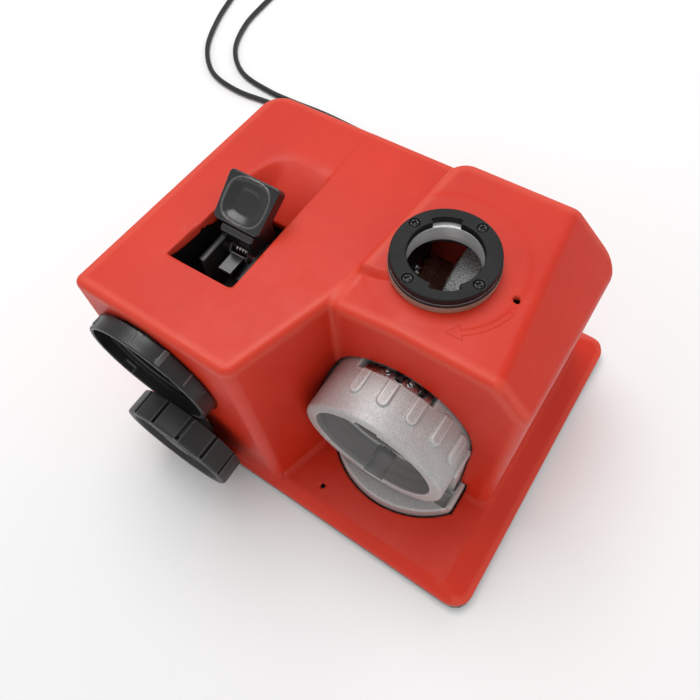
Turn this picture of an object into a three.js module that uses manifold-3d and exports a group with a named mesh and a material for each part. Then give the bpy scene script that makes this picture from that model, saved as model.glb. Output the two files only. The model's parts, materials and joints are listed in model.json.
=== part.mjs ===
// Drill bit sharpener, millimetres, +Z up. Origin: middle of the base footprint, on the floor.
// +X is the right-hand side of the operator who stands in front, +Y points to the back.
import * as THREE from "three";
import { mergeVertices } from "three/addons/utils/BufferGeometryUtils.js";
import Module from "manifold-3d";

const wasm = await Module();
wasm.setup();

// ---- driving dimensions -------------------------------------------------
const W = 270, D = 226;             // base outline
const GAP = 0.3;                    // clearance between neighbouring pieces
const T = 3;                        // moulding wall
const PLATE_Z0 = 1.8, PLATE_Z1 = 6.4;
const FLANGE_Z0 = 6.7, FLANGE_Z1 = 9.6, PLATFORM_Z = 16.1;
const LEFT_Y0 = -100.8, LEFT_Y1 = 88.4;         // left block, at its top
const LEFT_TOP = 162.6, LEFT_FALL = 0.0517;     // top height at the front, fall per mm towards the back
const RIGHT_Y0 = -37.6, RIGHT_Y1 = 84, RIGHT_X1 = 115.8, RIGHT_TOP = 165.1;
const CHAMFER = [[95.9, 165.1], [115.8, 139.2]];
const SPIN = { y: 43, z: 101 };               // motor and wheel axis, along X
const WHEEL_R = 40, WHEEL_X0 = 37, WHEEL_X1 = 63;
const PORT = { x: 38.9, y: 12.0, top: 176.6, r: 29.5, bore: 20.4 };
const HEAD = { x: 45, z: 79, y0: -75, y1: -34, ri: 39.7, ro: 48 };
const SWIVEL = { x: 52.5, y: -23.5, r: 60.5 };  // turning centre and radius of the head's foot plate
const CUP = { x: -87, z: 113, y0: -114.6, r: 43.2 };
const KNOB = { x: -75, z: 44, y0: -133.5, yb: -115.2, y1: -107.6, r: 41 };
const LEVER = { y: -24, z: 140, x: -76 };
const CORD_D = 5.2;
const ORIGIN = [2.58, 10.25, 0];                  // shift from the construction axes to the row's origin

// ---- helpers ------------------------------------------------------------
function man(geo) {
  const g = geo.index ? geo.toNonIndexed() : geo.clone();
  g.deleteAttribute("normal");
  g.deleteAttribute("uv");
  const m = mergeVertices(g, 1e-3);
  let s = new wasm.Manifold(
    new wasm.Mesh({
      numProp: 3,
      vertProperties: new Float32Array(m.attributes.position.array),
      triVerts: new Uint32Array(m.index.array),
    }),
  );
  if (s.volume() < 0) {
    const t = new Uint32Array(m.index.array);
    for (let i = 0; i < t.length; i += 3) [t[i + 1], t[i + 2]] = [t[i + 2], t[i + 1]];
    s = new wasm.Manifold(
      new wasm.Mesh({ numProp: 3, vertProperties: new Float32Array(m.attributes.position.array), triVerts: t }),
    );
  }
  return s;
}
function geoOf(s) {
  const m = s.getMesh(), n = m.numProp, v = new Float32Array(m.numVert * 3);
  for (let i = 0; i < m.numVert; i++) v.set(m.vertProperties.subarray(i * n, i * n + 3), i * 3);
  const g = new THREE.BufferGeometry();
  g.setAttribute("position", new THREE.BufferAttribute(v, 3));
  g.setIndex(new THREE.BufferAttribute(new Uint32Array(m.triVerts), 1));
  return g;
}
const box = (x0, x1, y0, y1, z0, z1) =>
  man(new THREE.BoxGeometry(x1 - x0, y1 - y0, z1 - z0).translate((x0 + x1) / 2, (y0 + y1) / 2, (z0 + z1) / 2));
const coarse = (n) => (n > 44 ? Math.round((n * 0.75) / 4) * 4 : Math.max(8, Math.round((n * 0.6) / 4) * 4));
// A cylinder along an axis: a0..a1 along it, (u, v) the other two coordinates in X, Y, Z order.
function cyl(axis, r, a0, a1, u, v, seg = 32, r2 = r) {
  const g = new THREE.CylinderGeometry(r2, r, a1 - a0, coarse(seg));
  const mid = (a0 + a1) / 2;
  if (axis === "z") g.rotateX(Math.PI / 2).translate(u, v, mid);
  if (axis === "x") g.rotateZ(-Math.PI / 2).translate(mid, u, v);
  if (axis === "y") g.translate(u, mid, v);
  return man(g);
}
// A lathe turned about an axis: profile of [radius, position along the axis], closed on itself.
function ring(axis, profile, u, v, seg = 40) {
  const pts = profile.map((p) => new THREE.Vector2(p[0], p[1]));
  if (profile[0][0] > 1e-6) pts.push(pts[0].clone());
  const g = new THREE.LatheGeometry(pts, coarse(seg));
  if (axis === "z") g.rotateX(Math.PI / 2).translate(u, v, 0);
  if (axis === "x") g.rotateZ(-Math.PI / 2).translate(0, u, v);
  if (axis === "y") g.translate(u, 0, v);
  return man(g);
}
// Plan outline with rounded corners.
function rounded(points, radii, seg = 3) {
  const out = [], n = points.length;
  for (let i = 0; i < n; i++) {
    const p = points[i], a = points[(i + n - 1) % n], b = points[(i + 1) % n];
    const r = Array.isArray(radii) ? radii[i] : radii;
    const u = [a[0] - p[0], a[1] - p[1]], w = [b[0] - p[0], b[1] - p[1]];
    const lu = Math.hypot(...u), lw = Math.hypot(...w);
    u[0] /= lu; u[1] /= lu; w[0] /= lw; w[1] /= lw;
    const half = Math.acos(Math.max(-1, Math.min(1, u[0] * w[0] + u[1] * w[1]))) / 2;
    if (!r || half < 1e-3) { out.push(p); continue; }
    const d = Math.min(r / Math.tan(half), 0.49 * Math.min(lu, lw));
    const s = [p[0] + u[0] * d, p[1] + u[1] * d], e = [p[0] + w[0] * d, p[1] + w[1] * d];
    for (let k = 0; k <= seg; k++) {
      const t = k / seg, q = 1 - t;
      out.push([
        q * q * s[0] + 2 * q * t * p[0] + t * t * e[0],
        q * q * s[1] + 2 * q * t * p[1] + t * t * e[1],
      ]);
    }
  }
  return out;
}
const shapeOf = (pts) => new THREE.Shape(pts.map((p) => new THREE.Vector2(p[0], p[1])));
function prism(pts, z0, z1, bevel = 0, map = null) {
  const opt = bevel
    ? { depth: z1 - z0 - 2 * bevel, bevelEnabled: true, bevelSize: bevel, bevelThickness: bevel, bevelOffset: -bevel, bevelSegments: 2 }
    : { depth: z1 - z0, bevelEnabled: false };
  const g = new THREE.ExtrudeGeometry(shapeOf(pts), { ...opt, steps: 1, curveSegments: 4 });
  g.translate(0, 0, z0 + bevel);
  if (map) {
    const p = g.attributes.position;
    for (let i = 0; i < p.count; i++) {
      const q = map(p.getX(i), p.getY(i), p.getZ(i));
      p.setXYZ(i, q[0], q[1], q[2]);
    }
  }
  return man(g);
}
// Outline in the Y-Z plane, extruded along X; and outline in the X-Z plane, extruded along Y.
function prismX(pts, x0, x1, bevel = 0) {
  const g = new THREE.ExtrudeGeometry(shapeOf(pts), bevel
    ? { depth: x1 - x0 - 2 * bevel, bevelEnabled: true, bevelSize: bevel, bevelThickness: bevel, bevelOffset: -bevel, bevelSegments: 2 }
    : { depth: x1 - x0, bevelEnabled: false });
  g.translate(0, 0, bevel);
  g.applyMatrix4(new THREE.Matrix4().set(0, 0, 1, x0, 1, 0, 0, 0, 0, 1, 0, 0, 0, 0, 0, 1));
  return man(g);
}
function prismY(pts, y0, y1, bevel = 0) {
  const g = new THREE.ExtrudeGeometry(shapeOf(pts), bevel
    ? { depth: y1 - y0 - 2 * bevel, bevelEnabled: true, bevelSize: bevel, bevelThickness: bevel, bevelOffset: -bevel, bevelSegments: 2 }
    : { depth: y1 - y0, bevelEnabled: false });
  g.translate(0, 0, bevel);
  g.applyMatrix4(new THREE.Matrix4().set(1, 0, 0, 0, 0, 0, -1, y1, 0, 1, 0, 0, 0, 0, 0, 1));
  return man(g);
}
function place(s, m) {
  return man(geoOf(s).applyMatrix4(m));
}
const turn = (axis, deg, c) => {
  const m = new THREE.Matrix4().makeTranslation(c[0], c[1], c[2]);
  const r = new THREE.Matrix4().makeRotationAxis(new THREE.Vector3(...axis), (deg * Math.PI) / 180);
  return m.multiply(r).multiply(new THREE.Matrix4().makeTranslation(-c[0], -c[1], -c[2]));
};
const union = (...s) => s.reduce((a, b) => a.add(b));
const root = new THREE.Group();
root.name = "drill_bit_sharpener";
function put(name, s, color, rough = 0.5, metal = 0) {
  const mesh = new THREE.Mesh(geoOf(s), new THREE.MeshStandardMaterial({ color, roughness: rough, metalness: metal }));
  mesh.name = name;
  root.add(mesh);
}
const RED = 0xc9402f, BLACK = 0x1c1c1d, ALU = 0xa9a9a6, STEEL = 0xb8bab8, GREY = 0x4a4a48, DARK = 0x2b2a2a;

// ---- housing ------------------------------------------------------------
const topLeft = (y, t) => LEFT_TOP - LEFT_FALL * (y - LEFT_Y0) - t;
function leftBlock(t) {
  const wall = (y) => -21.2 + (y - LEFT_Y0) * 0.2834 - 1.039 * t;
  const pts = rounded(
    [[-W / 2 + t, LEFT_Y0 + t], [wall(LEFT_Y0 + t), LEFT_Y0 + t], [wall(RIGHT_Y0 + t), RIGHT_Y0 + t], [22, RIGHT_Y0 + t], [22, LEFT_Y1 - t], [-W / 2 + t, LEFT_Y1 - t]],
    [11 - t, 9 - t, 0, 0, 0, 16 - t],
  );
  const z0 = 8, zt = 160;
  return prism(pts, z0 - (t ? 12 : 0), zt, t ? 3 : 6, (x, y, z) => {
    const s = Math.max(0, 1 - Math.max(0, z - PLATFORM_Z) / (zt - PLATFORM_Z));
    const yy = y < RIGHT_Y0 - 3 ? y - 5.4 * s * Math.min(1, (RIGHT_Y0 - y) / 50) : y > 30 ? y + 10 * s * ((y - 30) / 58) : y;
    const xx = x < 0 ? x + 9 * s * Math.max(0, (x + 135) / 114) * (y < RIGHT_Y0 ? 1 : 0.4) : x;
    return [xx, yy, z > 100 ? z + topLeft(y, t) - zt : z];
  });
}
function rightBlock(t) {
  const pts = rounded(
    [[-3.4 + t, RIGHT_Y0 + t], [RIGHT_X1 - t, RIGHT_Y0 + t], [RIGHT_X1 - t, RIGHT_Y1 - t], [8 + t, RIGHT_Y1 - t]],
    [8 - t, 9 - t, 13 - t, 8 - t],
  );
  const z0 = 8, zt = RIGHT_TOP - t;
  let s = prism(pts, z0 - (t ? 12 : 0), zt, t ? 2 : 5, (x, y, z) => {
    const k = Math.max(0, 1 - Math.max(0, z - PLATFORM_Z) / (zt - PLATFORM_Z));
    return [x, y < 20 ? y - 8.8 * k * Math.min(1, (20 - y) / 57) : y + 14 * k * Math.min(1, (y - 20) / 64), z];
  });
  const [a, b] = CHAMFER, off = 1.26 * t;
  const cut = prismY([[a[0] - 30, a[1] + 39 - off], [a[0], a[1] - off], [b[0], b[1] - off], [b[0] + 20, b[1] - 26 - off], [b[0] + 60, 190], [a[0] - 30, 240]], -80, 130);
  return s.subtract(cut);
}
function slab(t) {
  const pts = rounded([[-W / 2 + t, -D / 2 + t], [W / 2 - t, -D / 2 + t], [W / 2 - t, D / 2 - t], [-W / 2 + t, D / 2 - t]], 13 - t, 4);
  const z0 = t ? -4 : FLANGE_Z0, z1 = PLATFORM_Z - t, zm = FLANGE_Z1 - (t ? 1.2 : 0);
  const g = new THREE.ExtrudeGeometry(shapeOf(pts), { depth: 2, steps: 2, bevelEnabled: false });
  const p = g.attributes.position, hx = W / 2 - t, hy = D / 2 - t;
  const x1 = 116 - t, x0 = -134.4 + t, y0 = -105.3 + t, y1 = 103 - t;
  for (let i = 0; i < p.count; i++) {
    const x = p.getX(i), y = p.getY(i), k = Math.round(p.getZ(i));
    if (k < 2) p.setXYZ(i, x, y, k ? zm : z0);
    else p.setXYZ(i, x0 + ((x + hx) / (2 * hx)) * (x1 - x0), y0 + ((y + hy) / (2 * hy)) * (y1 - y0), z1);
  }
  return man(g);
}
const outer = union(slab(0), leftBlock(0), rightBlock(0));
const inner = union(slab(T), leftBlock(T), rightBlock(T));
let shell = outer.subtract(inner);

// finger scoop behind the lever and the window in front of it
const scoop = (o, x0, x1) =>
  prismX([[40 + o * 1.5, 158], [31 + o, 149 - o], [19 + o, 142 - o], [5, 138 - o], [5, 190], [40 + o * 1.5, 190]], x0, x1);
const scoopBody = scoop(T, -100.5, -52).intersect(outer);
shell = shell.add(scoopBody).subtract(scoop(0, -97.5, -55));
shell = shell.subtract(prism(rounded([[-101.4, -58], [-54, -59.5], [-55, 5.5], [-97.5, 5.5]], [2, 2, 0, 0]), 145, 185));

// seats for the two round controls of the front wall
shell = shell.subtract(cyl("y", 38, -118, -92, CUP.x, CUP.z, 48));
shell = shell.subtract(cyl("y", 7.4, -118, -92, KNOB.x, KNOB.z, 24));

// top port
shell = shell.subtract(cyl("z", 27.4, 150, 180, PORT.x, PORT.y, 48));

// arch for the sharpening head, and the well its foot plate turns in
const archHole = union(
  cyl("y", HEAD.ro + 1.3, -62, -28, HEAD.x, HEAD.z, 48),
  box(-4.8, HEAD.x + HEAD.ro + 6, -62, -28, 12, 30),
  box(-4.8, HEAD.x + HEAD.ro + 1.3, -62, -28, 12, HEAD.z),
);
shell = shell.subtract(archHole);
const well = cyl("z", SWIVEL.r + 1.1, 8, 20, SWIVEL.x, SWIVEL.y, 64).intersect(box(-4.8, HEAD.x + HEAD.ro + 6, -90, -28, 8, 20));
shell = shell.subtract(well);

// small holes
shell = shell.subtract(cyl("z", 1.5, 10, 20, 16.6, -95, 12));
shell = shell.subtract(cyl("z", 1.7, 158, 170, 81, 12, 12));

// back wall: cooling slots, cord hole; left wall: switch hole
for (let i = 0; i < 6; i++) shell = shell.subtract(box(-72 + 9 * i, -67 + 9 * i, 70, 112, 72, 112));
const CORD = { x: -106, z: 30 };
shell = shell.subtract(cyl("y", 6.2, 80, 125, CORD.x, CORD.z, 24));
const SW = { y: 12, z: 62, w: 26, h: 20 };
shell = shell.subtract(box(-140, -128, SW.y - SW.w / 2, SW.y + SW.w / 2, SW.z - SW.h / 2, SW.z + SW.h / 2));

// screw bosses
const BOSS = [[-123.5, -91], [-123.5, 88], [106, -95], [108, 88]];
BOSS.forEach(([x, y], i) => {
  const top = i < 2 ? 44 : 14.5;
  const b = cyl("z", i < 2 ? 9.5 : 5.5, FLANGE_Z0 + 0.2, top, x, y, 20);
  shell = shell.add(b.intersect(outer)).subtract(cyl("z", 2.1, 0, top - 3, x, y, 12));
});
put("housing_shell", shell, RED, 0.45);

// ---- base ---------------------------------------------------------------
let plate = prism(rounded([[-W / 2, -D / 2], [W / 2, -D / 2], [W / 2, D / 2], [-W / 2, D / 2]], 13, 4), PLATE_Z0, PLATE_Z1);
BOSS.forEach(([x, y]) => {
  plate = plate.subtract(cyl("z", 2.1, 0, 10, x, y, 12)).subtract(cyl("z", 4.3, 0, 4, x, y, 16));
});
const FEET = [[-112, -84], [-112, 96], [119, -97], [119, 97]];
FEET.forEach(([x, y]) => { plate = plate.subtract(cyl("z", 8.3, 0, 3.4, x, y, 24)); });
for (let i = 0; i < 5; i++) plate = plate.subtract(box(-92 + 14 * i, -86 + 14 * i, 8, 62, 0, 10));
put("base_plate", plate, GREY, 0.6);
FEET.forEach(([x, y], i) => put("rubber_foot_" + (i + 1), cyl("z", 7.4, 0, 3.1, x, y, 24, 8), DARK, 0.9));
BOSS.forEach(([x, y], i) =>
  put("base_screw_" + (i + 1), union(cyl("z", 3.9, 1.5, 3.7, x, y, 16), cyl("z", 1.8, 3.5, 11, x, y, 12)).subtract(box(x - 0.5, x + 0.5, y - 2.6, y + 2.6, 1, 2.3)), STEEL, 0.35, 1));

// ---- motor --------------------------------------------------------------
const CAN = { x0: -112, x1: -36, r: 33 };
const my = SPIN.y, mz = SPIN.z;
let can = ring("x", [[7.2, CAN.x0], [CAN.r - 3, CAN.x0], [CAN.r, CAN.x0 + 3], [CAN.r, CAN.x1], [CAN.r - 2, CAN.x1], [CAN.r - 2, CAN.x0 + 3.5], [13, CAN.x0 + 3.5], [13, CAN.x0 + 9], [11.3, CAN.x0 + 9], [11.3, CAN.x0 + 2], [7.2, CAN.x0 + 2]], my, mz, 40);
put("motor_can", can, 0x77777a, 0.4, 0.8);
let core = ring("x", [[20.5, -96], [CAN.r - 2.4, -96], [CAN.r - 2.4, -48], [20.5, -48]], my, mz, 32);
put("stator_core", core, 0x8a8378, 0.5, 0.7);
let arm = ring("x", [[5.4, -94], [19.6, -94], [19.6, -50], [5.4, -50]], my, mz, 24);
for (let i = 0; i < 8; i++) arm = arm.subtract(place(box(-95, -49, my - 1.2, my + 1.2, mz + 14, mz + 22), turn([1, 0, 0], 45 * i, [0, my, mz])));
put("armature_core", arm, 0x7a4b2c, 0.5, 0.6);
put("bearing_rear", ring("x", [[5.3, CAN.x0 + 2.4], [11, CAN.x0 + 2.4], [11, CAN.x0 + 8.4], [5.3, CAN.x0 + 8.4]], my, mz, 24), STEEL, 0.3, 1);
put("motor_shaft", union(cyl("x", 5, -116, WHEEL_X1 + 1.5, my, mz, 24), cyl("x", 3, WHEEL_X1, WHEEL_X1 + 15, my, mz, 16)), STEEL, 0.25, 1);
let bell = ring("x", [[11.4, CAN.x1 + 0.3], [CAN.r, CAN.x1 + 0.3], [CAN.r, CAN.x1 + 5], [15, CAN.x1 + 5], [15, CAN.x1 + 9], [11.4, CAN.x1 + 9]], my, mz, 40);
for (let i = 0; i < 6; i++) bell = bell.subtract(place(cyl("x", 4.6, CAN.x1 - 2, CAN.x1 + 7, my, mz + 23, 12), turn([1, 0, 0], 60 * i, [0, my, mz])));
put("motor_end_bell", bell, 0x6f6f72, 0.45, 0.8);
put("bearing_front", ring("x", [[5.3, CAN.x1 + 1], [11.1, CAN.x1 + 1], [11.1, CAN.x1 + 8], [5.3, CAN.x1 + 8]], my, mz, 24), STEEL, 0.3, 1);
let fan = ring("x", [[5.3, -24], [10, -24], [10, -13], [5.3, -13]], my, mz, 24);
for (let i = 0; i < 9; i++) {
  const b = place(box(-22.5, -14.5, my - 0.9, my + 0.9, mz + 8, mz + 30), turn([0, 0, 1], 24, [-18.5, my, mz]));
  fan = fan.add(place(b, turn([1, 0, 0], 40 * i, [0, my, mz])));
}
put("cooling_fan", fan, 0x2f2f31, 0.5);
// saddle under the motor and the post that carries the outboard bearing
let saddle = box(-104, -44, my - 27, my + 27, PLATE_Z1 + GAP, 84).subtract(cyl("x", CAN.r + 0.3, -120, -30, my, mz, 40));
saddle = saddle.subtract(box(-98, -50, my - 40, my + 40, 14, 60)).subtract(box(-120, -30, my - 20, my + 20, 12, 60));
put("motor_saddle", saddle, 0x3b3b3c, 0.6);
let post = box(2, 8, my - 16, my + 16, PLATE_Z1 + GAP, mz + 16).subtract(cyl("x", 8.4, 0, 10, my, mz, 24));
post = post.add(box(-6, 16, my - 16, my + 16, PLATE_Z1 + GAP, 11)).subtract(box(0, 10, my - 9, my + 9, 20, 78));
put("bearing_post", post, 0x55575a, 0.5, 0.6);
put("bearing_outboard", ring("x", [[5.3, 1.5], [8.1, 1.5], [8.1, 8.5], [5.3, 8.5]], my, mz, 24), STEEL, 0.3, 1);
// wheel, its hub, washer and nut
let hub = ring("x", [[5.3, 12], [12, 12], [12.6, 13], [12.6, 31], [21, 31], [21, WHEEL_X0 - GAP], [5.3, WHEEL_X0 - GAP]], my, mz, 32);
put("wheel_hub", hub, 0x4b3a30, 0.4, 0.7);
put("grinding_wheel", ring("x", [[5.3, WHEEL_X0], [WHEEL_R - 1.5, WHEEL_X0], [WHEEL_R, WHEEL_X0 + 1.5], [WHEEL_R, WHEEL_X1 - 1.5], [WHEEL_R - 1.5, WHEEL_X1], [5.3, WHEEL_X1]], my, mz, 56), 0x8d8d88, 0.9, 0.1);
put("wheel_washer", ring("x", [[5.3, WHEEL_X1 + GAP], [16, WHEEL_X1 + GAP], [15, WHEEL_X1 + 2.6], [3.3, WHEEL_X1 + 2.6], [3.3, WHEEL_X1 + 1.9], [5.3, WHEEL_X1 + 1.9]], my, mz, 32), STEEL, 0.3, 1);
{
  const hex = [];
  for (let i = 0; i < 6; i++) hex.push([my + 7 * Math.cos((i * Math.PI) / 3), mz + 7 * Math.sin((i * Math.PI) / 3)]);
  put("wheel_nut", prismX(hex, WHEEL_X1 + 3, WHEEL_X1 + 10).subtract(cyl("x", 3.3, 60, 90, my, mz, 16)), STEEL, 0.3, 1);
}

// ---- top port -----------------------------------------------------------
const P = PORT;
let tube = ring("z", [[20.8, 160.5], [25.4, 156.5], [26.8, 156.5], [26.8, 165.5], [30.4, 165.5], [30.4, 171.4], [20.8, 171.4]], P.x, P.y, 48);
put("port_tube", tube, STEEL, 0.3, 1);
let pring = ring("z", [[P.bore, 171.8], [P.r - 0.4, 171.8], [P.r, 172.4], [P.r, P.top - 1], [P.r - 1, P.top], [P.bore, P.top]], P.x, P.y, 56);
const notch = (mid, half) => {
  const pts = [], r0 = 17, r1 = 23.6;
  for (let k = -3; k <= 3; k++) { const a = ((mid + (half * k) / 3) * Math.PI) / 180; pts.push([P.x + r1 * Math.cos(a), P.y + r1 * Math.sin(a)]); }
  for (let k = 3; k >= -3; k--) { const a = ((mid + (half * k) / 3) * Math.PI) / 180; pts.push([P.x + r0 * Math.cos(a), P.y + r0 * Math.sin(a)]); }
  return prism(pts, 165, 182);
};
pring = pring.subtract(notch(117, 21)).subtract(notch(-62, 21));
const RING_SCREWS = [-20, 70, 160, -110];
RING_SCREWS.forEach((d) => {
  const x = P.x + 25.6 * Math.cos((d * Math.PI) / 180), y = P.y + 25.6 * Math.sin((d * Math.PI) / 180);
  pring = pring.subtract(cyl("z", 2.6, P.top - 2.6, 185, x, y, 16)).subtract(cyl("z", 1.5, 165, 185, x, y, 12));
});
put("port_ring", pring, BLACK, 0.5);
RING_SCREWS.forEach((d, i) => {
  const x = P.x + 25.6 * Math.cos((d * Math.PI) / 180), y = P.y + 25.6 * Math.sin((d * Math.PI) / 180);
  let s = union(cyl("z", 2.3, P.top - 2.3, P.top - 0.3, x, y, 16), cyl("z", 1.25, 172, P.top - 2, x, y, 12));
  s = s.subtract(box(x - 1.5, x + 1.5, y - 0.3, y + 0.3, P.top - 1.2, P.top + 1)).subtract(box(x - 0.3, x + 0.3, y - 1.5, y + 1.5, P.top - 1.2, P.top + 1));
  put("port_ring_screw_" + (i + 1), s, DARK, 0.4, 0.5);
});
// carrier that holds the port tube under the roof
let carrier = ring("z", [[25.4, 152.5], [30, 152.5], [30, 156.2], [25.4, 156.2]], P.x, P.y, 40);
carrier = carrier.add(box(P.x - 9, P.x + 9, P.y - 44.7, P.y - 28, 152.5, 156)).add(box(P.x - 9, P.x + 9, P.y - 44.7, P.y - 41.2, 134, 156));
carrier = carrier.add(box(P.x + 28, 112, P.y - 8, P.y + 8, 152.5, 156).intersect(box(0, 108, -50, 50, 0, 146).add(box(0, 92, -50, 50, 0, 200)))); 
put("port_carrier", carrier, 0x505052, 0.5, 0.6);

// ---- sharpening head ----------------------------------------------------
const H = HEAD;
const hx = H.x, hz = H.z;
let body = ring("y", [[H.ri, H.y0], [H.ro - 1.6, H.y0], [H.ro - 0.4, H.y0 + 1.5], [H.ro, H.y1], [H.ri, H.y1]], hx, hz, 64);
for (let i = 0; i < 6; i++) {
  const a = 113 - i * 21.6;
  const pts = [[-3.6, -61.5], [3.6, -61.5], [3.6, -45], [-3.6, -45]];
  let r = prism(rounded(pts.map((p) => [p[0], p[1]]), [3.5, 3.5, 0, 0]), H.ro - 2, H.ro + 1.6);
  const m = new THREE.Matrix4().makeTranslation(hx, 0, hz).multiply(new THREE.Matrix4().makeRotationY(((90 - a) * Math.PI) / 180));
  body = body.add(place(r, m));
}
// side webs down to the foot plate
const foot = cyl("z", SWIVEL.r, PLATFORM_Z - 4.4, 27.4, SWIVEL.x, SWIVEL.y, 64).intersect(box(6.8, 98.2, -90, -33.4, 0, 40));
const webs = union(box(hx + 30, hx + H.ro, -54, -33.4, 20, hz), box(hx - H.ro, hx - 30, -50, -33.4, 20, hz));
body = body.add(foot).add(webs.intersect(box(-20, 110, -90, -33.4, 0, hz)));
body = body.subtract(cyl("y", H.ri, -90, -20, hx, hz, 64));
body = body.add(ring("y", [[H.ri - 2.6, -52], [H.ri + 2, -52], [H.ri + 2, H.y1], [H.ri - 2.6, H.y1]], hx, hz, 64));
// keyways of the bore
body = body.subtract(box(hx - 7, hx + 7, -90, -20, hz - H.ri - 2.4, hz - H.ri + 6));
body = body.subtract(box(hx - 6, hx + 6, -90, -20, hz + H.ri - 6, hz + H.ri + 2.4));
// window of the clamping band
const slotPts = [];
for (let k = 0; k <= 10; k++) { const a = ((124 - k * 6.3) * Math.PI) / 180; slotPts.push([hx + 60 * Math.cos(a), hz + 60 * Math.sin(a)]); }
for (let k = 10; k >= 0; k--) { const a = ((124 - k * 6.3) * Math.PI) / 180; slotPts.push([hx + 42.6 * Math.cos(a), hz + 42.6 * Math.sin(a)]); }
body = body.subtract(prismY(slotPts, -44.5, -36.6));
// boss around the swivel post
body = body.add(cyl("z", 13, PLATFORM_Z - 4.4, 27.4, SWIVEL.x, SWIVEL.y, 32)).add(box(SWIVEL.x - 13, SWIVEL.x + 13, -36, SWIVEL.y, PLATFORM_Z - 4.4, 27.4));
body = body.subtract(cyl("z", 6.4, 0, 60, SWIVEL.x, SWIVEL.y, 24));
put("sharpening_head", body, ALU, 0.6, 0.7);
// swivel post, standing on the base plate
put("swivel_post", union(cyl("z", 14, PLATE_Z1 + GAP, PLATFORM_Z - 4.8, SWIVEL.x, SWIVEL.y, 32), cyl("z", 6, PLATE_Z1 + GAP, 28, SWIVEL.x, SWIVEL.y, 24)), STEEL, 0.35, 1);
// clamping band with its two screws and the index pins
const arcBand = (r0, r1, y0, y1, a0, a1, n = 8) => {
  const pts = [];
  for (let k = 0; k <= n; k++) { const a = ((a0 + ((a1 - a0) * k) / n) * Math.PI) / 180; pts.push([hx + r1 * Math.cos(a), hz + r1 * Math.sin(a)]); }
  for (let k = n; k >= 0; k--) { const a = ((a0 + ((a1 - a0) * k) / n) * Math.PI) / 180; pts.push([hx + r0 * Math.cos(a), hz + r0 * Math.sin(a)]); }
  return prismY(pts, y0, y1);
};
let band = arcBand(43, 45, -44, -37, 123, 62.5);
const bandScrewAt = [[92, -40.5], [71.5, -40.5]];
const onHead = (a) => new THREE.Matrix4().makeTranslation(hx, 0, hz).multiply(new THREE.Matrix4().makeRotationY(((90 - a) * Math.PI) / 180));
bandScrewAt.forEach(([a, y]) => { band = band.subtract(place(cyl("z", 1.9, 30, 60, 0, y, 12), onHead(a))); });
[101.5, 82].forEach((a) => { band = band.add(place(cyl("z", 1.4, 44, 47.4, 0, -40.5, 12, 1), onHead(a))); }); // index studs
put("clamping_band", band, STEEL, 0.25, 1);
bandScrewAt.forEach(([a, y], i) => {
  let s = union(cyl("z", 3, 45.3, 48.6, 0, y, 16), cyl("z", 1.6, 42.9, 46, 0, y, 12)).subtract(cyl("z", 1.4, 46.6, 50, 0, y, 6));
  put("band_screw_" + (i + 1), place(s, onHead(a)), DARK, 0.4, 0.6);
});

// ---- alignment port (upper left) ---------------------------------------
const C = CUP;
let cup = ring("y", [[39, C.y0 + 1.2], [40.2, C.y0], [C.r - 0.8, C.y0], [C.r, C.y0 + 1], [C.r - 0.6, -104.2], [37.3, -104.2], [37.3, -88], [33, -88], [33, -96], [35.4, -100], [35.4, -107], [39, -109]], C.x, C.z, 56);
for (let i = 0; i < 24; i++) cup = cup.subtract(place(box(C.x - 1.1, C.x + 1.1, C.y0 + 3, -100, C.z + C.r - 1, C.z + C.r + 3), turn([0, 1, 0], 15 * i, [C.x, 0, C.z])));
for (let i = 0; i < 2; i++) cup = cup.subtract(place(box(C.x - 5, C.x + 5, C.y0 - 2, C.y0 + 5, C.z + C.r - 6.4, C.z + C.r - 2.1), turn([0, 1, 0], 90 + 180 * i, [C.x, 0, C.z])));
put("alignment_collar", cup, BLACK, 0.5);
let sleeve = ring("y", [[24, -103], [32.4, -103], [32.4, -74], [24, -74]], C.x, C.z, 40);
sleeve = sleeve.add(ring("y", [[24, -82], [35.5, -82], [35.5, -78], [24, -78]], C.x, C.z, 40));
sleeve = sleeve.add(box(C.x - 22, C.x + 22, -82, -78, PLATE_Z1 + GAP, C.z - 26)).add(box(C.x - 22, C.x + 22, -90, -68, PLATE_Z1 + GAP, 11));
sleeve = sleeve.subtract(box(C.x - 7, C.x + 7, -120, -90, C.z + 20, C.z + 34)).subtract(cyl("y", 9, -90, -70, KNOB.x, KNOB.z, 24));
put("alignment_sleeve", sleeve, 0x2a2a2c, 0.6);
// two pawls that grip the bit, on pins behind the sleeve
const PAWL_Y = [-72.6, -68.4];
[-1, 1].forEach((s, i) => {
  const px = C.x + s * 17, pz = C.z + 13;
  const pts = rounded([[px - 5 * s, pz + 5], [px + 5 * s, pz + 4], [px + 5 * s, pz - 8], [C.x + s * 8, C.z - 5], [C.x + s * 1.2, C.z - 2.5], [C.x + s * 1.2, C.z + 2.5], [C.x + s * 7, C.z + 4]], [3, 3, 3, 2, 0.6, 0.6, 2], 2);
  let p = prismY(s > 0 ? pts.slice().reverse() : pts, PAWL_Y[0], PAWL_Y[1]);
  p = p.subtract(cyl("y", 2.3, -80, -60, px, pz, 16));
  put(i ? "alignment_pawl_right" : "alignment_pawl_left", p, STEEL, 0.3, 1);
  put("pawl_pin_" + (i + 1), cyl("y", 2, -73.7, -64, px, pz, 16), STEEL, 0.2, 1);
});

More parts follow.
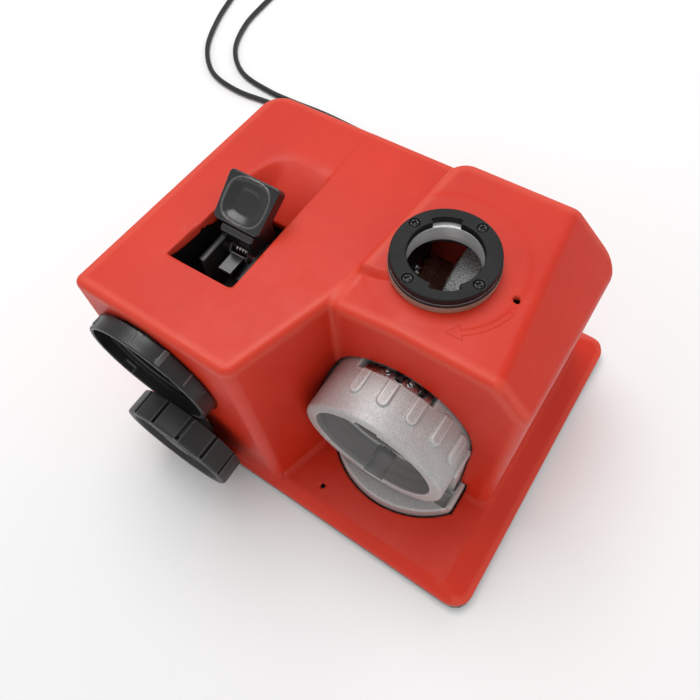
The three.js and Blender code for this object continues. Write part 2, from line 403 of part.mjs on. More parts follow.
// ---- setting knob (lower left) ------------------------------------------
const K = KNOB;
const lobes = [];
const NK = 18;
for (let i = 0; i < NK; i++) {
  const a = (i * 2 * Math.PI) / NK, h = Math.PI / NK;
  for (const [da, r] of [[-0.72 * h, K.r], [0.72 * h, K.r], [0.84 * h, K.r - 1.9], [1.16 * h, K.r - 1.9]])
    lobes.push([K.x + r * Math.cos(a + da), K.z + r * Math.sin(a + da)]);
}
let knob = prismY(lobes, K.y0, K.yb, 1.2);
knob = knob.subtract(cyl("y", 32, K.y0 - 1, K.y0 + 5, K.x, K.z, 40, 30)).add(cyl("y", 11.5, K.yb - 1, K.y1, K.x, K.z, 32));
knob = knob.subtract(cyl("y", 4.2, K.y0 + 9, K.y1 + 2, K.x, K.z, 20));
knob = knob.subtract(ring("y", [[12, K.yb - 9], [35, K.yb - 9], [35, K.yb + 2], [12, K.yb + 2]], K.x, K.z, 40));
put("setting_knob", knob, BLACK, 0.5);
put("knob_spindle", union(cyl("y", 3.9, K.y0 + 9.4, -62, K.x, K.z, 20), cyl("y", 6, -76, -66, K.x, K.z, 20)), STEEL, 0.3, 1);
put("knob_bushing", ring("y", [[4.2, -107], [7.1, -107], [7.1, -100.8], [10, -100.8], [10, -97], [4.2, -97]], K.x, K.z, 24), 0xb08d4a, 0.35, 1);

// ---- thumb lever --------------------------------------------------------
const L = LEVER;
// pad: 36 wide, 30 long, leaning 33 degrees back from the horizontal
const padM = new THREE.Matrix4().makeTranslation(L.x, -13.6, 173).multiply(new THREE.Matrix4().makeRotationX((33 * Math.PI) / 180));
let pad = man(new THREE.BoxGeometry(36, 30, 9).translate(0, 0, -4.5));
pad = prism(rounded([[-16.6, -15], [16.6, -15], [18, 15], [-18, 15]], 3), -8.5, 0, 1.2);
pad = pad.subtract(man(new THREE.SphereGeometry(34, 40, 28).translate(0, 0.5, 31.4)));
let lever = place(pad, padM);
lever = lever.add(prismX([[-27.5, 166], [-15, 171.5], [-9, 160], [-13, 146], [-19, 138], [-30, 139], [-30.5, 150]], L.x - 12, L.x + 12));
lever = lever.add(cyl("x", 6.5, L.x - 12, L.x + 12, L.y, L.z, 24));
lever = lever.add(box(L.x - 5, L.x + 5, -44, -27, 136.5, 143)).subtract(box(L.x - 6, L.x + 6, -29.6, -18, 128, 147.5));
lever = lever.subtract(cyl("x", 2.4, -110, -40, L.y, L.z, 16));
put("thumb_lever", lever, BLACK, 0.5);
put("lever_pin", cyl("x", 2.1, L.x - 17, L.x + 17, L.y, L.z, 16), STEEL, 0.2, 1);
// bracket from the sleeve's back that carries the lever pin
let brk = union(
  box(L.x - 16.5, L.x - 12.5, -46, -16, 112, 146),
  box(L.x + 12.5, L.x + 16.5, -46, -16, 112, 146),
  box(L.x - 16.5, L.x + 16.5, -46, -16, 108, 113),
  box(L.x - 16.5, L.x + 16.5, -46, -42, PLATE_Z1 + GAP, 113),
  box(L.x - 16.5, L.x + 16.5, -60, -30, PLATE_Z1 + GAP, 11),
);
brk = brk.subtract(cyl("x", 2.2, -110, -40, L.y, L.z, 16)).subtract(cyl("y", 7, -50, -40, KNOB.x, KNOB.z, 20));
put("lever_bracket", brk, 0x6c6c6e, 0.5, 0.7);
// torsion spring on the pin: a short helix
class Helix extends THREE.Curve {
  constructor(c, r, turns, x0, x1) { super(); Object.assign(this, { c, r, turns, x0, x1 }); }
  getPoint(t) {
    const a = t * this.turns * 2 * Math.PI;
    return new THREE.Vector3(this.x0 + (this.x1 - this.x0) * t, this.c[0] + this.r * Math.cos(a), this.c[1] + this.r * Math.sin(a));
  }
}
const tubeShape = (r, n = 8) => shapeOf([...Array(n)].map((_, i) => [r * Math.cos((i * 2 * Math.PI) / n), r * Math.sin((i * 2 * Math.PI) / n)]));
put("lever_spring", man(new THREE.ExtrudeGeometry(tubeShape(0.6, 6), { steps: 56, bevelEnabled: false, extrudePath: new Helix([L.y, L.z], 3.6, 4, L.x - 4.4, L.x + 4.4) })), STEEL, 0.2, 1);

// ---- switch -------------------------------------------------------------
put("switch_body", union(box(-131.6, -116, SW.y - 12.6, SW.y + 12.6, SW.z - 9.6, SW.z + 9.6), box(-137, -135.3, SW.y - 15, SW.y + 15, SW.z - 12, SW.z + 12), box(-136, -130, SW.y - 12.6, SW.y + 12.6, SW.z - 9.6, SW.z + 9.6))
  .subtract(box(-140, -124, SW.y - 10.4, SW.y + 10.4, SW.z - 7.4, SW.z + 7.4)), 0x151515, 0.5);
put("switch_rocker", place(prism(rounded([[-139.4, SW.y - 9.6], [-136.6, SW.y], [-139.4, SW.y + 9.6], [-134, SW.y + 9.8], [-129.5, SW.y + 3], [-129.5, SW.y - 3], [-134, SW.y - 9.8]], 0.8, 2), SW.z - 7, SW.z + 7), turn([0, 0, 1], -7, [-133, SW.y, SW.z])), 0x1d1d1e, 0.4);

// ---- cord ---------------------------------------------------------------
put("strain_relief", union(ring("y", [[2.9, 99], [5.8, 99], [5.8, 104], [7.4, 104], [7.4, 107], [5.6, 108], [4.3, 134], [3, 134]], CORD.x, CORD.z, 24), ring("y", [[2.9, 88], [7.4, 88], [7.4, 92], [5.8, 92], [5.8, 99.5], [2.9, 99.5]], CORD.x, CORD.z, 24)), 0x161616, 0.6);
put("cable_clamp", union(box(CORD.x - 12, CORD.x + 12, 71.5, 79.5, PLATE_Z1 + GAP, 26.9), box(CORD.x - 12, CORD.x - 4, 71.5, 79.5, 20, 34), box(CORD.x + 4, CORD.x + 12, 71.5, 79.5, 20, 34)), 0x2a2a2a, 0.6);
const ROUTE = [
  [CORD.x, 74, CORD.z], [CORD.x, 100, CORD.z], [CORD.x, 130, CORD.z], [CORD.x, 142, CORD.z - 0.4], [CORD.x - 4, 166, 21], [-128, 190, 8], [-168, 202, 2.7], [-215, 204, 2.7], [-259, 203, 2.7],
  [-303, 201, 2.7], [-342, 210, 2.7], [-374, 238, 2.7], [-396, 282, 2.7], [-410, 330, 2.7], [-419, 366, 2.7], [-420, 392, 2.7], [-406, 411, 2.7],
  [-384, 411, 2.7], [-370, 392, 2.7], [-367, 364, 2.7], [-366, 330, 2.7], [-362, 292, 2.7], [-345, 252, 2.7], [-314, 226, 2.7], [-272, 217, 2.7], [-240, 216, 2.7], [-200, 217, 2.7], [-150, 214, 2.7],
  [-100, 209, 2.7], [-62, 204.5, 2.7], [-31, 202.2, 2.7],
];
const path = new THREE.CatmullRomCurve3(ROUTE.map((p) => new THREE.Vector3(...p)), false, "centripetal");
put("cord_tube", man(new THREE.ExtrudeGeometry(tubeShape(CORD_D / 2, 8), { steps: 78, bevelEnabled: false, extrudePath: path })), 0x121212, 0.5);
put("cord_coil", ring("z", [[27, 0.4], [35, 0.4], [37, 2.4], [37, 11], [35, 13], [27, 13], [25, 11], [25, 2.4]], -30, 162.3, 28), 0x121212, 0.5);
const PL = { x: 38, y: 162 };
put("plug_tail", man(new THREE.ExtrudeGeometry(tubeShape(CORD_D / 2, 8), { steps: 10, bevelEnabled: false, extrudePath: new THREE.CatmullRomCurve3([[7.6, 162, 2.9], [14, 162, 3.2], [20, 162, 6.5], [25, 162, 10.6], [29, 162, 12.1]].map((p) => new THREE.Vector3(...p)), false, "centripetal") })), 0x121212, 0.5);
put("plug_body", union(ring("x", [[0, 30], [4, 30], [5, 36], [9, 46], [12, 50], [12, 66], [0, 66]], PL.y, 12.2, 24), cyl("x", 14, 66, 70, PL.y, 14.1, 24)).subtract(box(0, 100, 100, 220, -10, 0.1)), 0x161616, 0.55);
[-1, 1].forEach((s, i) => put("plug_pin_" + (i + 1), cyl("x", 2, 70.3, 89, PL.y + s * 9.5, 14.1, 16), STEEL, 0.2, 1));

// origin: middle of the footprint of everything but the free cord
root.position.set(ORIGIN[0], ORIGIN[1], ORIGIN[2]);
export default root;
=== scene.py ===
# Drill bit sharpener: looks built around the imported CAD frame.
# Lengths inside this file are in millimetres in "construction axes"; OFF moves them to the row frame.
import json
import math

import bpy
import numpy as np
from mathutils import Matrix, Vector

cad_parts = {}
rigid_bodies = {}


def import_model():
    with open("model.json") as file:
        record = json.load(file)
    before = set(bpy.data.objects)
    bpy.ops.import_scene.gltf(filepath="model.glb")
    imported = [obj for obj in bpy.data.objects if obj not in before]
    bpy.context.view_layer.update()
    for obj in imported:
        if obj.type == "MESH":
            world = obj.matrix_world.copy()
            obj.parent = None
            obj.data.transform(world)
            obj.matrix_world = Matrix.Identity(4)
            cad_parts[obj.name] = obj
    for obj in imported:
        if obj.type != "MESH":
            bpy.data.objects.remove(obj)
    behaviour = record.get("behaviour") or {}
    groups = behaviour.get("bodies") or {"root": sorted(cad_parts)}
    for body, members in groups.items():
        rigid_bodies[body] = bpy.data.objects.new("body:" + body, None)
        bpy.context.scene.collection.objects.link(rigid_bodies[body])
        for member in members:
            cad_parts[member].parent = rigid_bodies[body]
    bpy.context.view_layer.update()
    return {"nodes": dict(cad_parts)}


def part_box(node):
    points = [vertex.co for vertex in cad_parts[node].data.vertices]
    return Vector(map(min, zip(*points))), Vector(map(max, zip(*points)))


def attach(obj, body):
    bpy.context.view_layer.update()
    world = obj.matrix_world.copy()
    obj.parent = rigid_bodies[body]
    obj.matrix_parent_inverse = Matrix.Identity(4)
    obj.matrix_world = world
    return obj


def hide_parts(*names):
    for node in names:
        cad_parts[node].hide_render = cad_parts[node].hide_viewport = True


for o in list(bpy.data.objects):
    bpy.data.objects.remove(o)
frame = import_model()


def box_mm(node):
    lo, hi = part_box(node)
    return np.array(lo, float)[:3] * 1000, np.array(hi, float)[:3] * 1000


_foot = sum(box_mm("rubber_foot_1")) / 2
OFF = np.array([round(float(_foot[0]) + 112, 2), round(float(_foot[1]) + 84, 2), 0.0])
_cup, _knob = box_mm("alignment_collar"), box_mm("setting_knob")
CX, CZ = (float(v) for v in ((_cup[0] + _cup[1]) / 2 - OFF)[[0, 2]])
CR = float(_cup[1][0] - _cup[0][0]) / 2
CY = float(_cup[0][1] - OFF[1])
KX, KZ = (float(v) for v in ((_knob[0] + _knob[1]) / 2 - OFF)[[0, 2]])
KR = float(_knob[1][0] - _knob[0][0]) / 2
KY0, KY2 = float(_knob[0][1] - OFF[1]), float(_knob[1][1] - OFF[1])
KY1 = KY0 + 18.3
scene = bpy.context.scene


# ---- camera -----------------------------------------------------------------
def make_camera():
    yaw, pitch, roll = math.radians(41.79), math.radians(60.32), math.radians(-8.77)
    rg = Vector((math.cos(yaw), math.sin(yaw), 0))
    ug = Vector((-math.sin(yaw), math.cos(yaw), 0))
    f = math.cos(pitch) * ug + Vector((0, 0, -math.sin(pitch)))
    up = math.sin(pitch) * ug + Vector((0, 0, math.cos(pitch)))
    r = math.cos(roll) * rg + math.sin(roll) * up
    u = -math.sin(roll) * rg + math.cos(roll) * up
    data = bpy.data.cameras.new("camera")
    cam = bpy.data.objects.new("camera", data)
    scene.collection.objects.link(cam)
    data.sensor_width = 36
    data.lens = 623.55 * 36 / 700
    data.shift_x, data.shift_y = (350 - 337.81) / 700, (328.84 - 350) / 700
    data.clip_start, data.clip_end = 0.02, 20
    loc = Vector(((117.44 + OFF[0]) / 1000, (-167.87 + OFF[1]) / 1000, 0.44187))
    cam.matrix_world = Matrix(((r.x, u.x, -f.x, loc.x), (r.y, u.y, -f.y, loc.y), (r.z, u.z, -f.z, loc.z), (0, 0, 0, 1)))
    scene.camera = cam


make_camera()


# ---- materials --------------------------------------------------------------
def lin(c):
    return tuple(((x / 255) / 12.92 if x / 255 <= 0.04045 else ((x / 255 + 0.055) / 1.055) ** 2.4) for x in c)


class Nodes:
    """A small helper round one Principled material; coordinates are the piece's own, in metres."""

    def __init__(self, name, metallic=0.0, rough=0.5, **fixed):
        self.m = bpy.data.materials.new(name)
        self.m.use_nodes = True
        self.t = self.m.node_tree
        self.b = self.t.nodes["Principled BSDF"]
        self.b.inputs["Metallic"].default_value = metallic
        self.b.inputs["Roughness"].default_value = rough
        for k, v in fixed.items():
            self.b.inputs[k.replace("_", " ")].default_value = v
        self.co = self.t.nodes.new("ShaderNodeTexCoord").outputs["Object"]

    def n(self, kind, **p):
        x = self.t.nodes.new(kind)
        for k, v in p.items():
            if k in x.inputs:
                x.inputs[k].default_value = v
            else:
                setattr(x, k, v)
        return x

    def link(self, a, b):
        self.t.links.new(a, b)

    def mapped(self, scale):
        m = self.n("ShaderNodeMapping")
        m.inputs["Scale"].default_value = scale
        self.link(self.co, m.inputs["Vector"])
        return m.outputs["Vector"]

    def noise(self, scale, detail=2.0, rough=0.5, vec=None):
        x = self.n("ShaderNodeTexNoise")
        x.inputs["Scale"].default_value = scale
        x.inputs["Detail"].default_value = detail
        x.inputs["Roughness"].default_value = rough
        self.link(vec or self.co, x.inputs["Vector"])
        return x.outputs["Fac"]

    def ramp(self, fac, stops, interp="LINEAR"):
        x = self.n("ShaderNodeValToRGB")
        x.color_ramp.interpolation = interp
        e = x.color_ramp.elements
        while len(e) < len(stops):
            e.new(0.5)
        for k, (p, c) in enumerate(stops):
            e[k].position = p
            e[k].color = (*c, 1) if len(c) == 3 else c
        self.link(fac, x.inputs["Fac"])
        return x.outputs["Color"]

    def range(self, fac, a, b, c, d):
        x = self.n("ShaderNodeMapRange")
        for k, v in zip(("From Min", "From Max", "To Min", "To Max"), (a, b, c, d)):
            x.inputs[k].default_value = v
        self.link(fac, x.inputs["Value"])
        return x.outputs["Result"]

    def mix(self, fac, a, b, mode="MIX"):
        x = self.n("ShaderNodeMix", data_type="RGBA", blend_type=mode)
        for v, s in ((fac, 0), (a, 6), (b, 7)):
            if isinstance(v, (float, int)):
                x.inputs[s].default_value = v
            elif isinstance(v, tuple):
                x.inputs[s].default_value = (*v, 1)
            else:
                self.link(v, x.inputs[s])
        return x.outputs[2]

    def attr(self, name):
        x = self.n("ShaderNodeAttribute")
        x.attribute_name = name
        return x.outputs["Fac"]

    def color(self, c):
        self.link(c, self.b.inputs["Base Color"])

    def rough(self, r):
        self.link(r, self.b.inputs["Roughness"])

    def bump(self, pairs):
        """pairs: (height output, strength, distance in metres), stacked."""
        last = None
        for h, s, d in pairs:
            x = self.n("ShaderNodeBump")
            x.inputs["Strength"].default_value = s
            x.inputs["Distance"].default_value = d
            self.link(h, x.inputs["Height"])
            if last is not None:
                self.link(last, x.inputs["Normal"])
            last = x.outputs["Normal"]
        self.link(last, self.b.inputs["Normal"])


def plastic(name, dark, light, rough=(0.4, 0.5), grain=1600, grain_h=0.00006, edge_highlight=None, spec=0.5, edge_highlight_mix=0.3):
    k = Nodes(name, 0.0, rough[0])
    k.b.inputs["Specular IOR Level"].default_value = spec
    big = k.noise(14, 3, 0.6)
    fine = k.noise(grain, 2, 0.6)
    c = k.ramp(big, [(0.3, dark), (0.7, light)])
    c = k.mix(k.range(k.noise(420, 3, 0.6), 0.35, 0.65, 0.0, 0.16), c, tuple(x * 0.82 for x in dark))
    # painted highlight: convex edges are mixed toward a lighter edge colour
    if edge_highlight:
        c = k.mix(k.range(k.attr("edge_highlight"), 0.0, 1.0, 0.0, edge_highlight_mix), c, edge_highlight)
    k.color(c)
    k.rough(k.range(k.noise(60, 4, 0.6), 0.3, 0.7, rough[0], rough[1]))
    k.bump([(fine, 0.35, grain_h), (k.noise(70, 2, 0.5), 0.08, 0.0004)])
    return k.m


def metal(name, a, b, rough=(0.25, 0.4), grain=(900, 0.0001, 0.4), stretch=None, metallic=1.0):
    k = Nodes(name, metallic, rough[0])
    v = k.mapped(stretch) if stretch else None
    g = k.noise(grain[0], 3, 0.6, v)
    k.color(k.ramp(k.noise(35, 4, 0.65, v), [(0.3, a), (0.7, b)]))
    k.rough(k.range(g, 0.3, 0.7, rough[0], rough[1]))
    k.bump([(g, grain[2], grain[1])])
    return k.m


def cast(name, a, b, metallic=0.75, rough=(0.5, 0.68)):
    """Sand-cast metal: fine round grain, faint stains and a painted highlight on convex edges."""
    k = Nodes(name, metallic, rough[0])
    g = k.noise(1300, 2, 0.7)
    g2 = k.noise(520, 2, 0.6)
    c = k.ramp(k.noise(28, 4, 0.6), [(0.3, a), (0.7, b)])
    c = k.mix(k.range(g, 0.32, 0.5, 0.5, 0.0), c, tuple(x * 0.45 for x in a))
    c = k.mix(k.range(g2, 0.55, 0.75, 0.0, 0.4), c, tuple(min(1, x * 1.35) for x in b))
    # painted highlight: convex edges mixed toward a light grey
    c = k.mix(k.range(k.attr("edge_highlight"), 0.0, 1.0, 0.0, 0.35), c, (0.86, 0.86, 0.84))
    k.color(c)
    k.rough(k.range(g2, 0.3, 0.7, rough[0], rough[1]))
    k.bump([(g, 0.5, 0.00016), (g2, 0.35, 0.0002)])
    return k.m


RED_D, RED_L = lin((203, 41, 17)), lin((215, 49, 22))
M = {}
# the edge colours given below are painted highlights on the convex edges
M["red"] = plastic("red_plastic", RED_D, RED_L, (0.4, 0.5), 1500, 0.00005, edge_highlight=lin((226, 90, 70)), spec=0.34, edge_highlight_mix=0.45)
M["black"] = plastic("black_plastic", (0.009, 0.009, 0.010), (0.015, 0.015, 0.016), (0.3, 0.42), 1400, 0.00007, edge_highlight=(0.16, 0.16, 0.16), edge_highlight_mix=0.6)
# darker, rougher copy of the black plastic for inner surfaces: the darker colour is painted shade in the hollows
M["black_inner_painted_shade"] = plastic("black_plastic_inner_painted_shade", (0.004, 0.004, 0.004), (0.007, 0.007, 0.007), (0.5, 0.65), 1400, 0.00007, spec=0.25)
M["ring_black"] = plastic("ring_black", (0.009, 0.009, 0.0095), (0.013, 0.0135, 0.014), (0.48, 0.6), 1700, 0.00006, edge_highlight=(0.1, 0.1, 0.1), spec=0.2)
M["lever"] = plastic("lever_plastic", (0.009, 0.009, 0.010), (0.015, 0.015, 0.016), (0.17, 0.27), 1400, 0.00004, edge_highlight=(0.16, 0.16, 0.16), spec=0.6, edge_highlight_mix=0.6)
M["knob"] = plastic("knob_black", (0.012, 0.012, 0.012), (0.018, 0.018, 0.018), (0.4, 0.52), 1200, 0.00008, edge_highlight=(0.16, 0.16, 0.16), edge_highlight_mix=0.35)
M["screw"] = metal("black_screw", (0.012, 0.012, 0.012), (0.022, 0.022, 0.023), (0.16, 0.3), (900, 0.00005, 0.3), None, 0.4)
M["alu"] = cast("cast_aluminium", lin((176, 176, 175)), lin((192, 192, 190)), 0.35, (0.45, 0.6))
M["alu_bore"] = metal("machined_bore", lin((150, 151, 151)), lin((178, 178, 177)), (0.3, 0.48), (500, 0.00012, 0.5), (0.3, 6.0, 0.3), 0.4)
M["steel"] = metal("bright_steel", (0.55, 0.56, 0.56), (0.7, 0.7, 0.69), (0.16, 0.32), (600, 0.00005, 0.3))
M["port_steel"] = metal("port_steel", (0.62, 0.62, 0.62), (0.85, 0.85, 0.84), (0.25, 0.42), (700, 0.00008, 0.4), (1, 1, 9), 0.35)
M["flange"] = metal("port_flange_metal", lin((150, 128, 112)), lin((172, 152, 136)), (0.42, 0.6), (1000, 0.0001, 0.4), None, 0.35)
M["maroon"] = plastic("port_gasket", (0.02, 0.006, 0.006), (0.035, 0.01, 0.009), (0.6, 0.7))
M["band"] = metal("band_steel", (0.28, 0.29, 0.3), (0.5, 0.51, 0.52), (0.12, 0.34), (400, 0.0001, 0.4))
M["brass"] = metal("bushing_brass", (0.55, 0.36, 0.12), (0.7, 0.48, 0.18), (0.25, 0.4))
M["paint"] = metal("bracket_paint", (0.03, 0.03, 0.032), (0.05, 0.05, 0.052), (0.4, 0.6), (700, 0.0001, 0.4), None, 0.2)
M["can"] = metal("motor_can_steel", (0.1, 0.1, 0.105), (0.17, 0.17, 0.175), (0.3, 0.5), (500, 0.00008, 0.3), (6, 1, 1))
M["bell"] = cast("motor_bell_cast", (0.16, 0.16, 0.165), (0.22, 0.22, 0.225))
M["rubber"] = plastic("foot_rubber", (0.012, 0.012, 0.012), (0.02, 0.02, 0.02), (0.75, 0.9), 900, 0.0001)
M["base"] = plastic("base_grey", (0.14, 0.135, 0.125), (0.19, 0.185, 0.17), (0.5, 0.65), 900, 0.0001)
M["cord"] = plastic("cord_rubber", (0.007, 0.007, 0.007), (0.012, 0.012, 0.012), (0.4, 0.5), 2000, 0.00004)
# the hub's own brown, lightened as painted light because the hub sits in a dark cavity
M["hub"] = metal("hub_brown", (0.2, 0.09, 0.06), (0.34, 0.17, 0.12), (0.18, 0.34), (500, 0.00006, 0.3), (8, 1, 1), 0.45)
M["bracket"] = metal("bracket_steel", (0.035, 0.035, 0.035), (0.06, 0.06, 0.06), (0.35, 0.5), (500, 0.00006, 0.3), None, 0.5)


def m_lamination():
    k = Nodes("lamination", 0.8, 0.4)
    w = k.n("ShaderNodeTexWave", wave_type="BANDS", bands_direction="X")
    w.inputs["Scale"].default_value = 320
    w.inputs["Distortion"].default_value = 0.3
    k.link(k.co, w.inputs["Vector"])
    k.color(k.ramp(w.outputs["Fac"], [(0.2, (0.05, 0.045, 0.04)), (0.8, (0.28, 0.27, 0.26))]))
    k.rough(k.range(w.outputs["Fac"], 0, 1, 0.6, 0.35))
    k.bump([(w.outputs["Fac"], 0.4, 0.0002)])
    return k.m


def m_winding():
    k = Nodes("winding", 0.7, 0.35)
    w = k.n("ShaderNodeTexWave", wave_type="BANDS", bands_direction="DIAGONAL")
    w.inputs["Scale"].default_value = 260
    w.inputs["Distortion"].default_value = 1.2
    k.link(k.co, w.inputs["Vector"])
    k.color(k.ramp(w.outputs["Fac"], [(0.2, (0.12, 0.035, 0.01)), (0.8, (0.55, 0.22, 0.08))]))
    k.bump([(w.outputs["Fac"], 0.6, 0.0004)])
    return k.m


def m_grit():
    """Bonded diamond grit: bright random facets in a grey bond; the facets' near-white colour is partly painted light
    for the dark cavity.
    """
    k = Nodes("abrasive_grit_and_painted_light", 0.35, 0.35)
    v = k.n("ShaderNodeTexVoronoi", feature="F1")
    v.inputs["Scale"].default_value = 1150
    k.link(k.co, v.inputs["Vector"])
    g = k.noise(1700, 3, 0.75)
    # the grit's own speckle, lifted toward white as painted light for the dark cavity
    c = k.ramp(g, [(0.4, (0.12, 0.12, 0.12)), (0.5, (0.55, 0.55, 0.55)), (0.6, (1.0, 1.0, 0.98))])
    c = k.mix(k.range(v.outputs["Distance"], 0.0, 0.6, 0.35, 0.0), c, (0.95, 0.95, 0.93))
    k.color(c)
    k.rough(k.range(g, 0.35, 0.65, 0.25, 0.6))
    k.bump([(v.outputs["Distance"], 0.9, 0.0004), (g, 0.6, 0.0003)])
    return k.m


def m_floor():
    k = Nodes("floor", 0.0, 0.6)
    k.b.inputs["Specular IOR Level"].default_value = 0.1
    k.color(k.ramp(k.noise(1.5, 2), [(0.3, (0.93, 0.93, 0.93)), (0.7, (0.95, 0.95, 0.95))]))
    k.rough(k.range(k.noise(40, 3), 0.3, 0.7, 0.55, 0.7))
    return k.m


M["lamination"], M["winding"], M["grit"] = m_lamination(), m_winding(), m_grit()


# ---- signed distance helpers -------------------------------------------------
def ri(a, b, r):
    """Intersection with a convex fillet of radius r."""
    u, v = np.maximum(a + r, 0), np.maximum(b + r, 0)
    return np.minimum(-r, np.maximum(a, b)) + np.sqrt(u * u + v * v)


def ur(a, b, r):
    """Union with a concave fillet of radius r."""
    u, v = np.maximum(r - a, 0), np.maximum(r - b, 0)
    return np.maximum(r, np.minimum(a, b)) - np.sqrt(u * u + v * v)


def cut(a, b, r=0.8):
    return ri(a, -b, r)


def sm(t):
    t = np.clip(t, 0, 1)
    return t * t * (3 - 2 * t)


def rbox(x, y, z, c, h, r=0.5):
    """Rounded box about centre c with half sizes h."""
    qx, qy, qz = np.abs(x - c[0]) - h[0] + r, np.abs(y - c[1]) - h[1] + r, np.abs(z - c[2]) - h[2] + r
    out = np.sqrt(np.maximum(qx, 0) ** 2 + np.maximum(qy, 0) ** 2 + np.maximum(qz, 0) ** 2)
    return out + np.minimum(np.maximum(qx, np.maximum(qy, qz)), 0) - r


def span(v, a, b):
    return np.abs(v - (a + b) / 2) - (b - a) / 2


def surface_nets(fn, lo, hi, h):
    lo, hi = np.array(lo, float), np.array(hi, float)
    n = np.ceil((hi - lo) / h).astype(int) + 1
    ax = [lo[i] + h * np.arange(n[i]) for i in range(3)]
    X, Y, Z = np.meshgrid(*ax, indexing="ij")
    V = fn(X, Y, Z)
    S = V < 0
    off = [(i, j, k) for i in (0, 1) for j in (0, 1) for k in (0, 1)]
    cnt = sum(S[i:n[0] - 1 + i, j:n[1] - 1 + j, k:n[2] - 1 + k].astype(np.int8) for i, j, k in off)
    act = (cnt > 0) & (cnt < 8)
    I, J, K = np.nonzero(act)
    index = -np.ones(act.shape, np.int64)
    index[I, J, K] = np.arange(len(I))
    P, C = np.zeros((len(I), 3)), np.zeros(len(I))
    for a in off:
        for d in range(3):
            if a[d]:
                continue
            b = list(a)
            b[d] = 1
            va, vb = V[I + a[0], J + a[1], K + a[2]], V[I + b[0], J + b[1], K + b[2]]
            x = (va < 0) != (vb < 0)
            t = np.where(x, va / np.where(x, va - vb, 1), 0)
            p = np.tile(np.array(a, float), (len(I), 1))
            p[:, d] += t
            P[x] += p[x]
            C[x] += 1
    P = lo + h * (np.stack([I, J, K], 1) + P / C[:, None])
    faces = []
    for d in range(3):
        e, f = (d + 1) % 3, (d + 2) % 3
        a = [slice(None)] * 3
        b = [slice(None)] * 3
        a[d], b[d] = slice(0, -1), slice(1, None)
        x = S[tuple(a)] != S[tuple(b)]
        g = np.stack(np.nonzero(x), 1)
        g = g[(g[:, e] > 0) & (g[:, f] > 0) & (g[:, e] < n[e] - 1) & (g[:, f] < n[f] - 1)]
        inside = S[g[:, 0], g[:, 1], g[:, 2]]
        q = []
        for de, df in ((-1, -1), (0, -1), (0, 0), (-1, 0)):
            c = g.copy()
            c[:, e] += de
            c[:, f] += df
            q.append(index[c[:, 0], c[:, 1], c[:, 2]])
        q = np.stack(q, 1)
        q[~inside] = q[~inside][:, ::-1]
        faces.append(q)
    return P, np.vstack(faces)


def gradient(fn, p, e):
    g = np.zeros_like(p)
    for d in range(3):
        a, b = p.copy(), p.copy()
        a[:, d] += e
        b[:, d] -= e
        g[:, d] = (fn(a[:, 0], a[:, 1], a[:, 2]) - fn(b[:, 0], b[:, 1], b[:, 2])) / (2 * e)
    return g


def mesh_from(name, verts_mm, faces, normals=None, edge_highlight=None, shift=True):
    me = bpy.data.meshes.new(name)
    v = (np.asarray(verts_mm, float) + (OFF if shift else 0)) / 1000
    if isinstance(faces, np.ndarray) and faces.ndim == 2:
        k = faces.shape[1]
        me.vertices.add(len(v))
        me.vertices.foreach_set("co", v.astype(np.float32).ravel())
        me.loops.add(faces.size)
        me.loops.foreach_set("vertex_index", faces.astype(np.int32).ravel())
        me.polygons.add(len(faces))
        me.polygons.foreach_set("loop_start", np.arange(0, faces.size, k, dtype=np.int32))
        me.update(calc_edges=True)
    else:
        me.from_pydata([tuple(p) for p in v], [], [tuple(int(i) for i in f) for f in faces])
    me.validate()
    me.polygons.foreach_set("use_smooth", np.ones(len(me.polygons), bool))
    # stores the convexity that the materials use for a painted highlight on convex edges
    if edge_highlight is not None:
        at = me.attributes.new("edge_highlight", "FLOAT", "POINT")
        at.data.foreach_set("value", np.asarray(edge_highlight, np.float32))
    me.update()
    if normals is not None:
        me.normals_split_custom_set_from_vertices(normals.astype(np.float32))
    return me


def link(name, me, body, mats, nodes=()):
    o = bpy.data.objects.new(name, me)
    scene.collection.objects.link(o)
    for m in mats if isinstance(mats, (list, tuple)) else [mats]:
        me.materials.append(m)
    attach(o, body)
    if nodes:
        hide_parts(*nodes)
    return o


def sdf_piece(name, fn, lo, hi, h, body, mats, nodes=(), pick=None, edge_r=None, edge_fn=None):
    """Meshes fn < 0. pick(centres, normals) gives each face's material; convexity marks convex edges, which the
    materials lighten as a painted highlight.
    """
    P, Q = surface_nets(fn, lo, hi, h)
    P0 = P.copy()
    for _ in range(3):
        f = fn(P[:, 0], P[:, 1], P[:, 2])
        g = gradient(fn, P, 0.02 * h + 0.01)
        s = np.clip(f / np.maximum((g * g).sum(1), 0.25), -0.35 * h, 0.35 * h)
        P -= s[:, None] * g
        m = P - P0
        P = P0 + m * np.minimum(1, 0.55 * h / np.maximum(np.linalg.norm(m, axis=1, keepdims=True), 1e-9))
    N = gradient(fn, P, 0.12 * h)
    N /= np.maximum(np.linalg.norm(N, axis=1, keepdims=True), 1e-9)
    # convexity: how far the surface falls away a little way out, from the field's own curvature
    er = edge_r or 1.2 * h
    q = P - N * er
    e = np.clip(-(edge_fn or fn)(q[:, 0], q[:, 1], q[:, 2]) / er, 0, 2)
    # convex edges found here get a lighter colour in the materials: a painted highlight
    edge_highlight = np.clip((0.95 - e) / 0.3, 0, 1)
    me = mesh_from(name, P, Q, N, edge_highlight)
    if pick is not None and len(me.polygons) == len(Q):
        c = P[Q].mean(1)
        me.polygons.foreach_set("material_index", np.asarray(pick(c, N[Q].mean(1)), np.int32))
    return link(name, me, body, mats, nodes)


# ---- housing -----------------------------------------------------------------
def plane(x, y, z, p, n):
    n = np.array(n, float)
    n /= np.linalg.norm(n)
    return (x - p[0]) * n[0] + (y - p[1]) * n[1] + (z - p[2]) * n[2]


